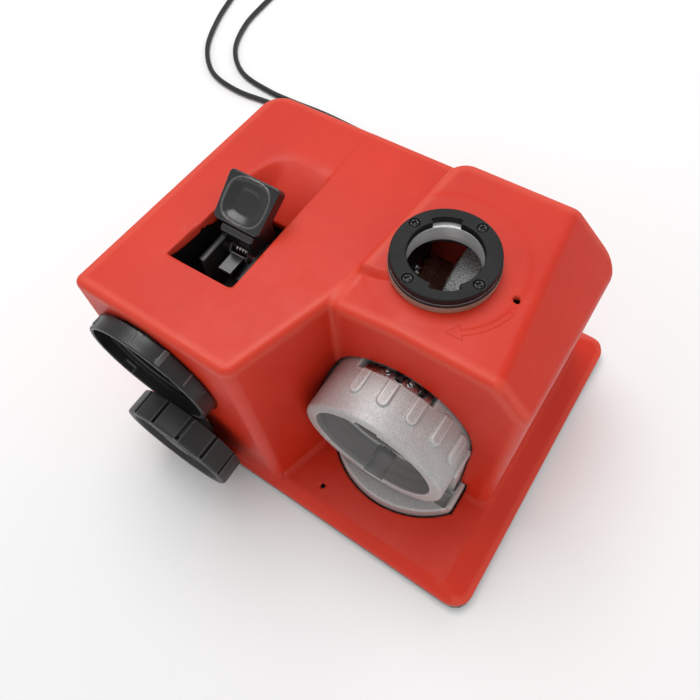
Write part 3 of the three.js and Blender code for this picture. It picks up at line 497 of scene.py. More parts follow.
def three(p, q, r, toward):
    n = np.cross(np.subtract(q, p), np.subtract(r, p))
    return n if np.dot(n, toward) > 0 else -n


WALL_N = three((-21.2, -100.8, 162.6), (-3.4, -38, 160), (-12.2, -105.5, 16), (1, 0, 0))
PX, PY = 38.9, 12.0


def housing_outer(x, y, z, inside=False):
    # left block
    k = 1 / math.sqrt(1 + 0.0368**2)
    d = ri(-135 - x, (-102.3 - 0.03684 * (162.6 - z) - y) * k, 5.5)
    d = ri(d, plane(x, y, z, (-21.2, -100.8, 162.6), WALL_N), 6)
    d = ri(d, (y - 88.4 - 0.0731 * (152.8 - z)) * 0.997, 16)
    left = ri(d, (z - 162.6 + 0.0517 * (y + 100.8)) * 0.9987, 4.2)
    # right block
    r = ri((-3.4 + (y + 38) * 0.0934 - x) * 0.9957, (-37.6 - 0.0604 * (165.1 - z) - y) * 0.998, 6)
    r = ri(r, x - 115.8, 6)
    r = ri(r, (y - 84 - 0.094 * (165 - z)) * 0.9956, 12)
    strip = np.minimum(165.1, 158.9 + 0.16 * (x + 3.4))
    if inside:
        r = ri(r, z - strip, 4.0)
    else:
        line = -12.3 + 0.138 * (x + 5.4)
        w = sm((y - line + 2.6) / 4.6)
        top = strip + (165.1 - strip) * w
        slope = (165.1 - strip) / 4.6 * 1.5 * np.where((w > 0) & (w < 1), 1, 0.3)
        top = top + 0.5 * sm((47.5 - np.hypot(x - 37.3, y - 16.2)) / 5)
        r = ri(r, (z - top) / np.sqrt(1 + 0.5 * slope * slope), 3.6)
    r = ri(r, plane(x, y, z, (95.5, -34.9, 165.1), (0.721, 0.076, 0.688)), 2.2)
    body = ur(left, r, 3.5)
    # flange with its sloping border
    q = np.hypot(np.maximum(np.abs(x) - 122, 0), np.maximum(np.abs(y) - 100, 0)) + np.minimum(np.maximum(np.abs(x) - 122, np.abs(y) - 100), 0) - 13
    f = ri(q, plane(x, y, z, (135, 0, 9.6), (6.5, 0, 19)), 0.8)
    f = ri(f, plane(x, y, z, (0, -113, 9.6), (0, -6.5, 7.7)), 1.0)
    f = ri(f, plane(x, y, z, (0, 113, 9.6), (0, 6.5, 10)), 1.0)
    f = np.where(x > 112, np.maximum(f, z - 16.1), ri(f, z - 16.1, 1.6))
    return ur(body, f, 4.5)


def cyl_y(x, z, cx, cz, r):
    return np.hypot(x - cx, z - cz) - r


def housing(x, y, z):
    o = housing_outer(x, y, z)
    # finger scoop behind the lever: deep at the window, fading into the roof at the back and the left
    t = np.clip((y - 4) / 44, 0, 1)
    left_fade = sm((x + 104 - 5 * t) / 17)
    zs = 162.6 - 0.0517 * (y + 100.8) + 0.6 - 22.5 * (1 - t) ** 1.35 * left_fade
    sc = ri(x + 55.2, (zs - z) * 0.5, 2.0)
    sc = np.maximum(np.maximum(sc, -104 - x), -60 - y)
    sc = np.where(y < 0, np.maximum(sc, 0.6), sc)
    o = ri(o, -sc, 1.6)
    q = housing_outer(x, y, z, True)
    q = ri(q, -sc, 1.6)
    s = np.maximum(o, -(q + 3.0))
    s = ri(s, 6.7 - z, 0.4)
    # window in front of the lever
    w = np.maximum(np.maximum((-101.4 + 0.06 * (y + 58)) - x, x + 54 + 0.02 * (y + 58)), np.maximum(-58.5 - y + 0.02 * (x + 101), y - 5.0))
    w = np.maximum(w, 128 - z)
    s = cut(s, w, 0.9)
    # top port
    s = cut(s, np.maximum(np.hypot(x - PX, y - PY) - 27.8, 140 - z), 0.8)
    # arch and foot well of the sharpening head
    a = cyl_y(x, z, 45, 79, 49.4)
    a = np.minimum(a, np.maximum(np.maximum(-4.8 - x, x - 94.4), z - 79))
    a = np.minimum(a, np.maximum(np.maximum(-4.8 - x, x - 99.2), z - 30))
    a = np.maximum(np.maximum(a, span(y, -64, -26)), 11 - z)
    s = cut(s, a, 1.0)
    well = np.maximum(np.hypot(x - 52.5, y + 23.5) - 61.7, np.maximum(np.maximum(-4.8 - x, x - 99.2), span(y, -92, -26)))
    s = cut(s, np.maximum(np.maximum(well, 8 - z), z - 24), 0.8)
    # seats of the two round controls
    s = cut(s, np.maximum(cyl_y(x, z, CX, CZ, CR + 0.9), span(y, -130, -103.7)), 0.6)
    s = cut(s, np.maximum(cyl_y(x, z, CX, CZ, 38.2), span(y, -130, -90)), 0.9)
    s = cut(s, np.maximum(cyl_y(x, z, KX, KZ, 12.4), span(y, -140, -107.1)), 0.4)
    s = cut(s, np.maximum(cyl_y(x, z, KX, KZ, 7.4), span(y, -140, -90)), 0.4)
    # small holes, cord hole, switch hole
    s = cut(s, np.maximum(np.hypot(x - 16.6, y + 95) - 1.7, 8 - z), 0.5)
    s = cut(s, np.maximum(np.hypot(x - 81, y - 12) - 1.9, 150 - z), 0.5)
    s = cut(s, np.maximum(cyl_y(x, z, -106, 30, 6.3), 70 - y), 0.6)
    s = cut(s, rbox(x, y, z, (-135, 12, 62), (8, 13, 10), 1.0), 0.5)
    # cooling slots of the back wall
    u = x + 69.5 - 9 * np.clip(np.round((x + 69.5) / 9), 0, 5)
    v = np.hypot(u, np.maximum(np.abs(z - 92) - 18, 0)) - 2.5
    s = cut(s, np.maximum(v, 70 - y), 0.7)
    return s


HG = 1.8
sdf_piece("housing", housing, (-137.3, -115.3, 4.5), (137.5, 115.4, 168.5), HG, "base", M["red"], ["housing_shell"], edge_r=8.0, edge_fn=housing_outer)


# ---- sharpening head -----------------------------------------------------------
HX, HZ = 45.0, 79.0
RIBS = [113 - 21.6 * i for i in range(6)]


def head_fn(x, y, z):
    rr = np.hypot(x - HX, z - HZ)
    ang = np.degrees(np.arctan2(z - HZ, x - HX))
    ro = 47.6 + 0.4 * (y + 75) / 41
    wall = ri(ri(rr - ro, -75 - y, 2.0), y + 34, 0.8)
    # raised ribs with round ends
    for a in RIBS:
        c, s_ = math.cos(math.radians(a)), math.sin(math.radians(a))
        u = (x - HX) * c + (z - HZ) * s_
        t = -(x - HX) * s_ + (z - HZ) * c
        rear = -43.3 if a < 60 else -45.2
        dd = np.hypot(t, np.maximum(-58.0 - y, 0)) - 3.5
        rib = ri(np.maximum(dd, y - rear), u - 49.7, 0.8)
        rib = np.maximum(rib, 44 - u)
        wall = ur(wall, rib, 0.4)
    # thin bright flange behind the band's window
    collar = ri(ri(rr - 49.2, -36.4 - y, 0.4), y + 34, 0.4)
    wall = np.minimum(wall, collar)
    # webs at both sides, foot plate
    web = rbox(x, y, z, (HX + 41.2, -44.0, 49.5), (7.4, 10.2, 30), 2.0)
    web2 = rbox(x, y, z, (HX - 39.5, -42.0, 49.5), (8.5, 8.4, 30), 2.0)
    wall = ur(wall, np.minimum(web, web2), 2.5)
    foot = ri(np.hypot(x - 52.5, y + 23.5) - 60.5, z - 27.4, 1.3)
    foot = ri(ri(foot, 11.9 - z, 0.8), y + 33.4, 0.5)
    foot = ri(foot, x - 98.2, 1.5)
    foot = ri(foot, 6.8 - x, 1.5)
    # pocket with a small upstand at the right of the foot plate
    foot = cut(foot, rbox(x, y, z, (90.0, -57.5, 27.5), (4.2, 8.5, 6.5), 1.5), 0.5)
    d = ur(wall, foot, 3.0)
    up = rbox(x, y, z, (96.6, -56.0, 29.5), (1.5, 9.5, 3.6), 0.7)
    d = ur(d, up, 0.8)
    # bore with its step, keyways
    d = cut(d, rr - 39.7, 1.0)
    step = np.maximum(np.maximum(np.abs(rr - 39.4) - 2.2, -56 - y), y + 34)
    d = np.minimum(d, np.maximum(step, 0.0 + rr * 0 - 1))
    d = cut(d, rbox(x, y, z, (HX, -55, HZ - 40.5), (7, 40, 2.6), 0.5), 0.4)
    d = cut(d, rbox(x, y, z, (HX - 2, -55, HZ + 40.3), (7, 40, 2.6), 0.5), 0.4)
    # window of the clamping band
    sl = ri(ri(span(y, -44.8, -36.6), np.abs(ang - 92.8) * 0.0174533 * rr - 31.2 * 0.0174533 * rr, 0.8), 42.7 - rr, 0.3)
    d = cut(d, sl, 0.5)
    return d


def head_pick(c, n):
    rr = np.hypot(c[:, 0] - HX, c[:, 2] - HZ)
    rad = (n[:, 0] * (c[:, 0] - HX) + n[:, 2] * (c[:, 2] - HZ)) / np.maximum(rr, 1)
    return ((rad < -0.5) & (rr < 44)).astype(int)


sdf_piece("sharpening_tube_head", head_fn, (-6, -86, 9), (102.5, -31, 131.5), 0.85, "head",
          [M["alu"], M["alu_bore"]], ["sharpening_head"], head_pick, edge_r=1.6)


def on_head(a):
    """Matrix that takes local +Z to the outward direction at angle a of the head's axis."""
    return Matrix.Translation(Vector((HX, 0, HZ))) @ Matrix.Rotation(math.radians(90 - a), 4, "Y")


def transform(me, m):
    """m works in millimetres in construction axes; the mesh comes out in metres in the row frame."""
    t = Matrix.Scale(0.001, 4) @ Matrix.Translation(Vector(OFF)) @ m @ Matrix.Scale(1000, 4) @ Matrix.Translation(-Vector(OFF) / 1000)
    me.transform(t)
    return me


# ---- lathe and extrusion helpers ------------------------------------------------
def rounded_profile(pts, r, seg=3):
    out, n = [], len(pts)
    for i in range(n):
        p, a, b = np.array(pts[i][:2], float), np.array(pts[i - 1][:2], float), np.array(pts[(i + 1) % n][:2], float)
        q = pts[i][2] if len(pts[i]) > 2 else r
        u, w = a - p, b - p
        lu, lw = np.linalg.norm(u), np.linalg.norm(w)
        u, w = u / lu, w / lw
        half = math.acos(max(-1, min(1, float(u @ w)))) / 2
        if q <= 0 or half > 1.5:
            out.append(p)
            continue
        d = min(q / math.tan(half), 0.45 * min(lu, lw))
        s, e = p + u * d, p + w * d
        for k in range(seg + 1):
            t = k / seg
            out.append((1 - t) ** 2 * s + 2 * t * (1 - t) * p + t * t * e)
    return out


def lathe(name, axis, prof, c, body, mats, nodes=(), seg=72, r=0.4, pick=None):
    """prof is a closed loop of (radius, position along the axis); c the other two coordinates."""
    pr = rounded_profile(prof, r)
    n = len(pr)
    v, f = [], []
    for k in range(seg):
        a = 2 * math.pi * k / seg
        ca, sa = math.cos(a), math.sin(a)
        for p in pr:
            q = {"z": (c[0] + p[0] * ca, c[1] + p[0] * sa, p[1]), "x": (p[1], c[0] + p[0] * ca, c[1] + p[0] * sa), "y": (c[0] + p[0] * sa, p[1], c[1] + p[0] * ca)}[axis]
            v.append(q)
    for k in range(seg):
        for i in range(n):
            a, b = k * n + i, k * n + (i + 1) % n
            d, e = ((k + 1) % seg) * n + i, ((k + 1) % seg) * n + (i + 1) % n
            f.append((a, b, e, d))
    me = mesh_from(name, v, np.array(f))
    import bmesh
    bm = bmesh.new()
    bm.from_mesh(me)
    bmesh.ops.recalc_face_normals(bm, faces=bm.faces)
    if pick:
        for x in bm.faces:
            p = x.calc_center_median() * 1000 - Vector(OFF)
            x.material_index = pick(p)
    bm.to_mesh(me)
    bm.free()
    me.set_sharp_from_angle(angle=math.radians(38))
    return link(name, me, body, mats, nodes)


# clamping band, its screws and studs
def band_fn(x, y, z):
    rr = np.hypot(x - HX, z - HZ)
    ang = np.degrees(np.arctan2(z - HZ, x - HX))
    d = ri(ri(np.abs(rr - 44.0) - 0.9, span(y, -44.0, -37.2), 0.4), (np.abs(ang - 92.8) - 30.0) * 0.0174533 * rr, 0.6)
    for a in (101.5, 82.0):
        c, s_ = math.cos(math.radians(a)), math.sin(math.radians(a))
        u = (x - HX) * c + (z - HZ) * s_
        t = -(x - HX) * s_ + (z - HZ) * c
        d = ur(d, ri(np.hypot(t, y + 40.5) - 1.5, u - 47.2, 0.9), 0.3)
    return d


sdf_piece("clamp_band", band_fn, (14, -46, 100), (68, -35, 128.5), 0.7, "head", M["band"], ["clamping_band"], edge_r=0.5)


def socket_screw(name, m, r, top, head, shank, body, nodes, mat="screw", cross=False):
    """Cap screw along local Z: head from top-head to top, shank below, hex or cross recess."""
    def fn(x, y, z):
        rr = np.hypot(x, y)
        d = ri(ri(rr - r, z - top, 0.28 * r if cross else 0.35), top - head - z, 0.1)
        d = np.minimum(d, ri(rr - 0.55 * r, (top - head - shank) - z, 0.2) if shank else 9)
        d = np.maximum(d, z - top) if not shank else np.where(z > top - head, ri(ri(rr - r, z - top, 0.28 * r if cross else 0.35), top - head - z, 0.1), d)
        if cross:
            w = 0.19 * r
            rec = np.minimum(np.maximum(np.abs(x) - w, np.abs(y) - 0.62 * r), np.maximum(np.abs(y) - w, np.abs(x) - 0.62 * r))
        else:
            rec = np.maximum(np.maximum(np.abs(x), np.abs(0.5 * x + 0.866 * y)), np.abs(0.5 * x - 0.866 * y)) - 0.45 * r
            d = np.maximum(d, -np.maximum(np.abs(rr - r) - 0.12, 0.25 * np.cos(24 * np.arctan2(y, x)) - 0.05)) if False else d
        return cut(d, np.maximum(rec, top - 0.6 * head - z), 0.08)
    h = r / 7.0
    lo = (-r - 3 * h, -r - 3 * h, top - head - (shank or 0) - 3 * h)
    hi = (r + 3 * h, r + 3 * h, top + 3 * h)
    P, Q = surface_nets(fn, lo, hi, h)
    for _ in range(2):
        f = fn(P[:, 0], P[:, 1], P[:, 2])
        g = gradient(fn, P, 0.02 * h)
        P -= np.clip(f / np.maximum((g * g).sum(1), 0.05), -0.5 * h, 0.5 * h)[:, None] * g
    R = np.array(m, float)
    P = P @ R[:3, :3].T + R[:3, 3]
    me = mesh_from(name, P, Q)
    me.set_sharp_from_angle(angle=math.radians(40))
    return link(name, me, body, M[mat], nodes)


for i, (a, y) in enumerate(((92, -40.5), (71.5, -40.5))):
    socket_screw("band_cap_screw_%d" % (i + 1), on_head(a) @ Matrix.Translation(Vector((0, y, 0))), 2.9, 48.6, 3.1, 2.4, "head", ["band_screw_%d" % (i + 1)])


# ---- top port: ring, four screws, tube ---------------------------------------------
P_TOP = 176.6
RING_SCREWS = [-20, 70, 160, -110]


def wedge(x, y, mid, half, cx, cy):
    a = np.degrees(np.arctan2(y - cy, x - cx)) - mid
    a = (a + 180) % 360 - 180
    return (np.abs(a) - half) * 0.0174533 * np.hypot(x - cx, y - cy)


def ring_fn(x, y, z):
    rr = np.hypot(x - PX, y - PY)
    d = ri(ri(rr - 29.5, z - P_TOP, 0.7), 171.8 - z, 0.4)
    d = cut(d, rr - 20.4, 0.6)
    for mid in (117, -62):
        d = cut(d, np.maximum(rr - 23.6, wedge(x, y, mid, 21, PX, PY)), 0.35)
    for a in RING_SCREWS:
        cx, cy = PX + 25.4 * math.cos(math.radians(a)), PY + 25.4 * math.sin(math.radians(a))
        d = cut(d, np.maximum(np.hypot(x - cx, y - cy) - 3.1, P_TOP - 2.1 - z), 0.25)
    return d


sdf_piece("port_ring_detailed", ring_fn, (PX - 31, PY - 31, 170.6), (PX + 31, PY + 31, 177.8), 0.5, "base", M["ring_black"], ["port_ring"], edge_r=0.55)
for i, a in enumerate(RING_SCREWS):
    m = Matrix.Translation(Vector((PX + 25.4 * math.cos(math.radians(a)), PY + 25.4 * math.sin(math.radians(a)), 0))) @ Matrix.Rotation(math.radians(a + 20), 4, "Z")
    socket_screw("ring_cross_screw_%d" % (i + 1), m, 2.75, P_TOP - 0.1, 1.9, 0, "base", ["port_ring_screw_%d" % (i + 1)], cross=True)


def tube_pick(p):
    r = math.hypot(p.x - PX, p.y - PY)
    if r > 25.5 and p.z > 165.3:
        return 2 if p.z > 170.2 else 1
    return 3 if p.z < 160.4 else 0


lathe("port_tube_detailed", "z", [(20.8, 160.5, .3), (25.4, 156.5, .3), (26.8, 156.5, .3), (26.8, 165.5, .1), (30.3, 165.5, .5), (30.3, 170.2, .1), (29.6, 170.25, .1), (29.6, 171.4, .2), (20.8, 171.4, .7)],
      (PX, PY), "base", [M["port_steel"], M["flange"], M["maroon"], M["paint"]], ["port_tube"], 112, 0.4, tube_pick)


# ---- alignment port (cup) ------------------------------------------------------------


def polar(x, z, a):
    """radial and tangential coordinates at angle a (degrees, from +X towards +Z) of the cup's axis"""
    c, s_ = math.cos(math.radians(a)), math.sin(math.radians(a))
    return (x - CX) * c + (z - CZ) * s_, -(x - CX) * s_ + (z - CZ) * c


def cup_fn(x, y, z):
    rr = np.hypot(x - CX, z - CZ)
    ro = CR - 0.4 + 0.3 * sm((y + 114) / 8)
    d = ri(rr - ro, CY - y, 0.9)
    d = np.where(y > -104.6, np.maximum(d, ri(rr - 37.3, y + 88, 0.6)), d)
    bore = rr - (CR - 3.1) + (CR - 37.4) * sm((y + 107.2) / 1.8)
    bore = np.where(y > -96.5, rr - 33.0, bore)
    d = cut(d, bore, 0.5)
    # raised tab, ticks and small dots on the outside
    u, t = polar(x, z, 58)
    d = ur(d, rbox(u, y, t, (CR - 0.2, -108.6, 0), (0.75, 4.8, 1.7), 0.5), 0.2)
    u, t = polar(x, z, 33)
    d = ur(d, rbox(u, y, t, (CR - 0.2, -108.2, 0), (0.6, 3.9, 0.55), 0.3), 0.2)
    u, t = polar(x, z, 36.5)
    u, t = polar(x, z, 84)
    d = ur(d, rbox(u, y, t, (CR - 0.2, -108.6, 0), (0.55, 4.0, 0.5), 0.3), 0.2)
    d = ur(d, rbox(u, y, t, (CR - 0.2, -105.0, -1.8), (0.5, 0.5, 2.2), 0.3), 0.2)
    for a in (101, 14):
        u, t = polar(x, z, a)
        d = ur(d, np.sqrt((u - CR + 0.4) ** 2 + t * t + (y + 106) ** 2) - 0.9, 0.2)
    for a in (135, 180, 225, 270, 315):
        u, t = polar(x, z, a)
        d = ur(d, rbox(u, y, t, (CR - 0.2, -108.4, 0), (0.6, 4.2, 0.8), 0.4), 0.2)
    # two notches of the inner rim
    for a in (40, 220):
        u, t = polar(x, z, a)
        d = cut(d, rbox(u, y, t, (CR - 3.7, -113.5, 0), (1.4, 3.4, 4.0), 0.4), 0.3)
    return d


# inward-facing bore faces deep in the cup take the darker inner black: painted shade
sdf_piece("alignment_cup", cup_fn, (CX - CR - 2.2, CY - 1.6, CZ - CR - 2.2), (CX + CR + 2.2, -86, CZ + CR + 2.2), 0.72, "collar", [M["black"], M["black_inner_painted_shade"]], ["alignment_collar"],
          lambda c, n: (((n[:, 0] * (c[:, 0] - CX) + n[:, 2] * (c[:, 2] - CZ)) < -0.3 * np.hypot(c[:, 0] - CX, c[:, 2] - CZ)) & (c[:, 1] > -104)).astype(int), edge_r=0.9)


# ---- setting knob ---------------------------------------------------------------------
NK = 13


def knob_fn(x, y, z):
    rr = np.hypot(x - KX, z - KZ)
    a = np.arctan2(z - KZ, x - KX)
    s_ = 2 * math.pi / NK
    b = a - s_ * np.round(a / s_)
    # slightly domed wide facets
    facet = rr * np.cos(b) * 0.5 + rr * 0.5 - KR + 0.4
    d = ri(facet, KY0 - y, 2.0)
    d = ri(d, y - KY1, 0.8)
    # narrow groove between neighbours, closed at the front by a shallow ramp
    bb = a - s_ * (np.floor(a / s_) + 0.5)
    g = np.maximum(np.abs(bb * rr) - 1.15, (KR - 2.5 + 0.5 * np.maximum(KY0 + 3.6 - y, 0)) - rr)
    d = cut(d, np.maximum(g, KY0 + 1.4 - y), 0.4)
    # dished face
    dish = np.maximum(rr - (KR - 7.7) - 0.45 * np.clip(KY0 + 4.2 - y, 0, 5), y - KY0 - 3.5)
    d = cut(d, dish, 1.0)
    hub = ri(rr - 10.5, KY0 + 1.7 - y, 0.8)
    d = np.minimum(d, np.maximum(hub, y - KY0 - 8.7))
    d = np.minimum(d, np.maximum(rr - 11.5, span(y, KY1 - 8, KY2)))
    d = cut(d, np.maximum(rr - 4.2, KY0 + 9 - y), 0.2)
    return cut(d, np.maximum(np.abs(rr - 23.5) - 11, KY0 + 9.5 - y), 0.6)


sdf_piece("setting_knob_detailed", knob_fn, (KX - KR - 1.5, KY0 - 1.5, KZ - KR - 1.5), (KX + KR + 1.5, KY2 + 1.2, KZ + KR + 1.5), 0.75, "knob", M["knob"], ["setting_knob"], edge_r=1.1)


# ---- thumb lever -----------------------------------------------------------------------
LX = -76.0
LC, LS = math.cos(math.radians(33)), math.sin(math.radians(33))


def lever_fn(x, y, z):
    # pad frame: u right, v up the slope, w out of the face
    dy, dz = y + 13.6, z - 173
    u = x - LX
    v = dy * LC + dz * LS
    w = -dy * LS + dz * LC
    half = 17.3 + 0.7 * (v / 15)
    p = ri(np.abs(u) - half, np.abs(v) - 15.2, 3.2)
    pad = ri(ri(p, w, 1.0), -8.5 - w, 1.2)
    # squircle dish
    q = (np.abs(u / 14.6) ** 2.9 + np.abs((v - 0.3) / 13.4) ** 2.9) ** (1 / 2.9)
    dish = w + 2.6 * sm((1 - q) / 0.55) + 0.25 * sm((1 - q) / 0.05)
    lip = w - 0.35 * np.clip(1 - np.abs(q - 1.0) / 0.045, 0, 1)
    pad = np.maximum(pad, np.where(q < 1, dish, -9))
    pad = np.minimum(pad, np.maximum(np.where(np.abs(q - 1.0) < 0.045, lip, 9), -1 - w))
    # arm below the pad
    a = plane(y * 0, y, z, (0, -9.5, 170), (0, 0.93, 0.12))
    b = plane(y * 0, y, z, (0, -28.5, 160), (0, -1, -0.1))
    arm = ri(ri(ri(a, b, 2), np.abs(u) - 12, 2), 137 - z, 3)
    arm = ri(arm, w + 5, 1)
    d = ur(pad, arm, 2.0)
    d = ur(d, ri(np.hypot(y + 24, z - 140) - 6.5, np.abs(u) - 12, 0.6), 1.5)
    d = ur(d, rbox(x, y, z, (LX, -35.5, 139.7), (5, 8.5, 3.2), 0.8), 0.8)
    d = cut(d, rbox(x, y, z, (LX, -23.8, 137.7), (6, 5.8, 9.8), 0.6), 0.4)
    return cut(d, np.hypot(y + 24, z - 140) - 2.4, 0.2)


sdf_piece("thumb_lever_detailed", lever_fn, (LX - 20, -46, 131), (LX + 20, 3.5, 183.2), 0.62, "lever", M["lever"], ["thumb_lever"], edge_r=0.9)


def liner_fn(x, y, z):
    d = rbox(x, y, z, (-77.8, -26.2, 124.2), (24.9, 33.4, 32.0), 1.5)
    d = cut(d, rbox(x, y, z, (-77.8, -26.2, 126.0), (23.6, 32.1, 36.0), 1.0), 0.3)
    return np.maximum(d, np.where(y > 3, z - 131, -9))


# the liner takes the darker inner copy of the black plastic: painted shade
sdf_piece("window_liner", liner_fn, (-104.5, -61.5, 90), (-51, 9.5, 158.5), 1.1, "base", M["black_inner_painted_shade"], [], edge_r=0.9)

# arrow outline, a generic curved arrow beside the port
def arrow():
    p0, p1 = np.array([80.5, 2.0]), np.array([62.5, -24.1])
    c = np.array([42.0, 14.0])
    def arc(r, a0, a1, n):
        return [c + r * np.array([math.cos(math.radians(a0 + (a1 - a0) * k / n)), math.sin(math.radians(a0 + (a1 - a0) * k / n))]) for k in range(n + 1)]
    r, a0, a1 = 41.5, -14, -54
    inner, outer_ = arc(r - 1.6, a0, a1, 14), arc(r + 1.6, a0, a1, 14)
    tip = c + r * np.array([math.cos(math.radians(a1 - 11)), math.sin(math.radians(a1 - 11))])
    h1 = c + (r - 4.2) * np.array([math.cos(math.radians(a1)), math.sin(math.radians(a1))])
    h2 = c + (r + 4.2) * np.array([math.cos(math.radians(a1)), math.sin(math.radians(a1))])
    return [*outer_, h2, tip, h1, *inner[::-1]]


def outline(name, pts, z_of, w, h, body, mat):
    """A thin raised line along a closed outline lying on the roof."""
    v, f = [], []
    n = len(pts)
    for i, p in enumerate(pts):
        a, b = pts[i - 1], pts[(i + 1) % n]
        t = (b - a) / max(np.linalg.norm(b - a), 1e-6)
        q = np.array([-t[1], t[0]])
        for s_, dz in ((-w, -0.3), (-w * 0.5, h), (w * 0.5, h), (w, -0.3)):
            r = p + q * s_
            v.append((r[0], r[1], z_of(r[0], r[1]) + dz))
    for i in range(n):
        j = (i + 1) % n
        for k in range(4):
            l = (k + 1) % 4
            f.append((i * 4 + k, i * 4 + l, j * 4 + l, j * 4 + k))
    me = mesh_from(name, v, np.array(f))
    return link(name, me, body, mat)


def roof(x, y):
    g = np.linspace(160, 167, 141)
    v = housing_outer(np.full_like(g, x), np.full_like(g, y), g)
    k = int(np.argmax(v > 0))
    return float(g[k])


outline("direction_arrow", arrow(), roof, 0.42, 0.16, "base", M["red"])


# ---- grinding wheel and hub -----------------------------------------------------------
MY, MZ = 43.0, 101.0
lathe("grit_wheel", "x", [(5.3, 37, .2), (38.6, 37, .2), (40, 38.4, .5), (40, 61.6, .5), (38.6, 63, .2), (5.3, 63, .2)], (MY, MZ), "rotor", M["grit"], ["grinding_wheel"], 128, 0.4)
lathe("wheel_hub_detailed", "x", [(5.3, 12, .3), (11.4, 12, .8), (12.6, 13.4, .5), (12.6, 20, .3), (11.9, 20.6, .3), (11.9, 22, .3), (12.6, 22.6, .3), (12.6, 30.6, 1.5), (20.4, 31, .8), (21, 31.8, .4), (21, 36.7, .4), (5.3, 36.7, .3)], (MY, MZ), "rotor", M["hub"], ["wheel_hub"], 96)


# ---- power cord --------------------------------------------------------------------------
ROUTE = [(-106, 74, 30), (-106, 100, 30), (-106, 130, 30), (-106, 142, 29.6), (-110, 166, 21), (-128, 190, 8), (-168, 202, 2.7), (-215, 204, 2.7), (-259, 203, 2.7),
         (-303, 201, 2.7), (-342, 210, 2.7), (-374, 238, 2.7), (-396, 282, 2.7), (-410, 330, 2.7), (-419, 366, 2.7), (-420, 392, 2.7), (-406, 411, 2.7),
         (-384, 411, 2.7), (-370, 392, 2.7), (-367, 364, 2.7), (-366, 330, 2.7), (-362, 292, 2.7), (-345, 252, 2.7), (-314, 226, 2.7), (-272, 217, 2.7), (-240, 216, 2.7), (-200, 217, 2.7), (-150, 214, 2.7),
         (-100, 209, 2.7), (-62, 204.5, 2.7), (-31, 202.2, 2.7)]


def catmull(pts, n):
    p = [np.array(q, float) for q in pts]
    p = [2 * p[0] - p[1]] + p + [2 * p[-1] - p[-2]]
    out = []
    for i in range(1, len(p) - 2):
        a, b, c, d = p[i - 1:i + 3]
        t1 = np.linalg.norm(b - a) ** 0.5
        t2 = t1 + np.linalg.norm(c - b) ** 0.5
        t3 = t2 + np.linalg.norm(d - c) ** 0.5
        for k in range(n):
            t = t1 + (t2 - t1) * k / n
            a1, a2, a3 = (t1 - t) / t1 * a + t / t1 * b, (t2 - t) / (t2 - t1) * b + (t - t1) / (t2 - t1) * c, (t3 - t) / (t3 - t2) * c + (t - t2) / (t3 - t2) * d
            b1, b2 = (t2 - t) / t2 * a1 + t / t2 * a2, (t3 - t) / (t3 - t1) * a2 + (t - t1) / (t3 - t1) * a3
            out.append((t2 - t) / (t2 - t1) * b1 + (t - t1) / (t2 - t1) * b2)
    out.append(p[-2])
    return np.array(out)


def spiral(a0, turns, r0, r1, z0, z1, n=36):
    k = max(4, int(round(n * turns)))
    t = np.linspace(0, 1, k + 1)
    w = t * t * (3 - 2 * t)
    a = a0 - 2 * np.pi * turns * t
    r, z = r0 + (r1 - r0) * w, z0 + (z1 - z0) * w
    return np.stack([-30 + r * np.cos(a), 162.3 + r * np.sin(a), z], 1)


def cord_line():
    line = [catmull(ROUTE, 8)]
    line[0][:, 2] = np.maximum(line[0][:, 2], 2.62)
    a = math.pi / 2
    for turns, r0, r1, z0, z1 in ((0.35, 39.9, 34.3, 2.7, 2.7), (0.75, 34.3, 34.3, 2.7, 2.7), (0.3, 34.3, 28.8, 2.7, 2.75), (0.75, 28.8, 28.8, 2.75, 2.75),
                                  (0.3, 28.8, 28.8, 2.75, 8.1), (0.7, 28.8, 28.8, 8.1, 8.1), (0.3, 28.8, 34.3, 8.1, 8.1), (0.8, 34.3, 34.3, 8.1, 8.1)):
        line.append(spiral(a, turns, r0, r1, z0, z1)[1:])
        a -= 2 * math.pi * turns
    return np.vstack(line), a


def tube_curve(name, pts_mm, d, body, mat, nodes):
    cu = bpy.data.curves.new(name, "CURVE")
    cu.dimensions = "3D"
    cu.bevel_depth = d / 2000
    cu.bevel_resolution = 5
    cu.use_fill_caps = True
    s = cu.splines.new("POLY")
    s.points.add(len(pts_mm) - 1)
    for i, q in enumerate((pts_mm + OFF) / 1000):
        s.points[i].co = (*q, 1)
    s.use_smooth = True
    cu.materials.append(mat)
    o = bpy.data.objects.new(name, cu)
    scene.collection.objects.link(o)
    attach(o, body)
    if nodes:
        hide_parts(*nodes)
    return o


line, a_end = cord_line()
cord = tube_curve("power_cord", line, 5.2, "base", M["cord"], ["cord_tube", "cord_coil"])
tail_pts = catmull([(7.6, 162, 2.9), (14, 162, 3.2), (20, 162, 6.5), (25, 162, 10.6), (29.6, 162, 12.1)], 8)
tail = tube_curve("plug_tail_cord", tail_pts, 5.2, "base", M["cord"], ["plug_tail"])


def plug_fn(x, y, z):
    r = np.hypot(y - 162, z - 12.2)
    t = np.clip((x - 30) / 20, 0, 1)
    body = ri(ri(r - (4.0 + 7.9 * t**1.5), 30.2 - x, 1.0), x - 66, 0.3)
    grip = np.abs(x - 57 - 3 * np.round((x - 57) / 3).clip(-2, 2))
    body = cut(body, np.maximum(np.abs(grip) - 0.55, 11.3 - r), 0.3)
    disc = ri(ri(np.hypot(y - 162, z - 14.1) - 13.9, 65.5 - x, 1.0), x - 70, 0.8)
    return ri(ur(body, disc, 1.5), 0.15 - z, 0.5)


plug = sdf_piece("plug_moulded", plug_fn, (28, 146, -1.5), (72, 178, 30), 1.0, "base", M["cord"], ["plug_body"])


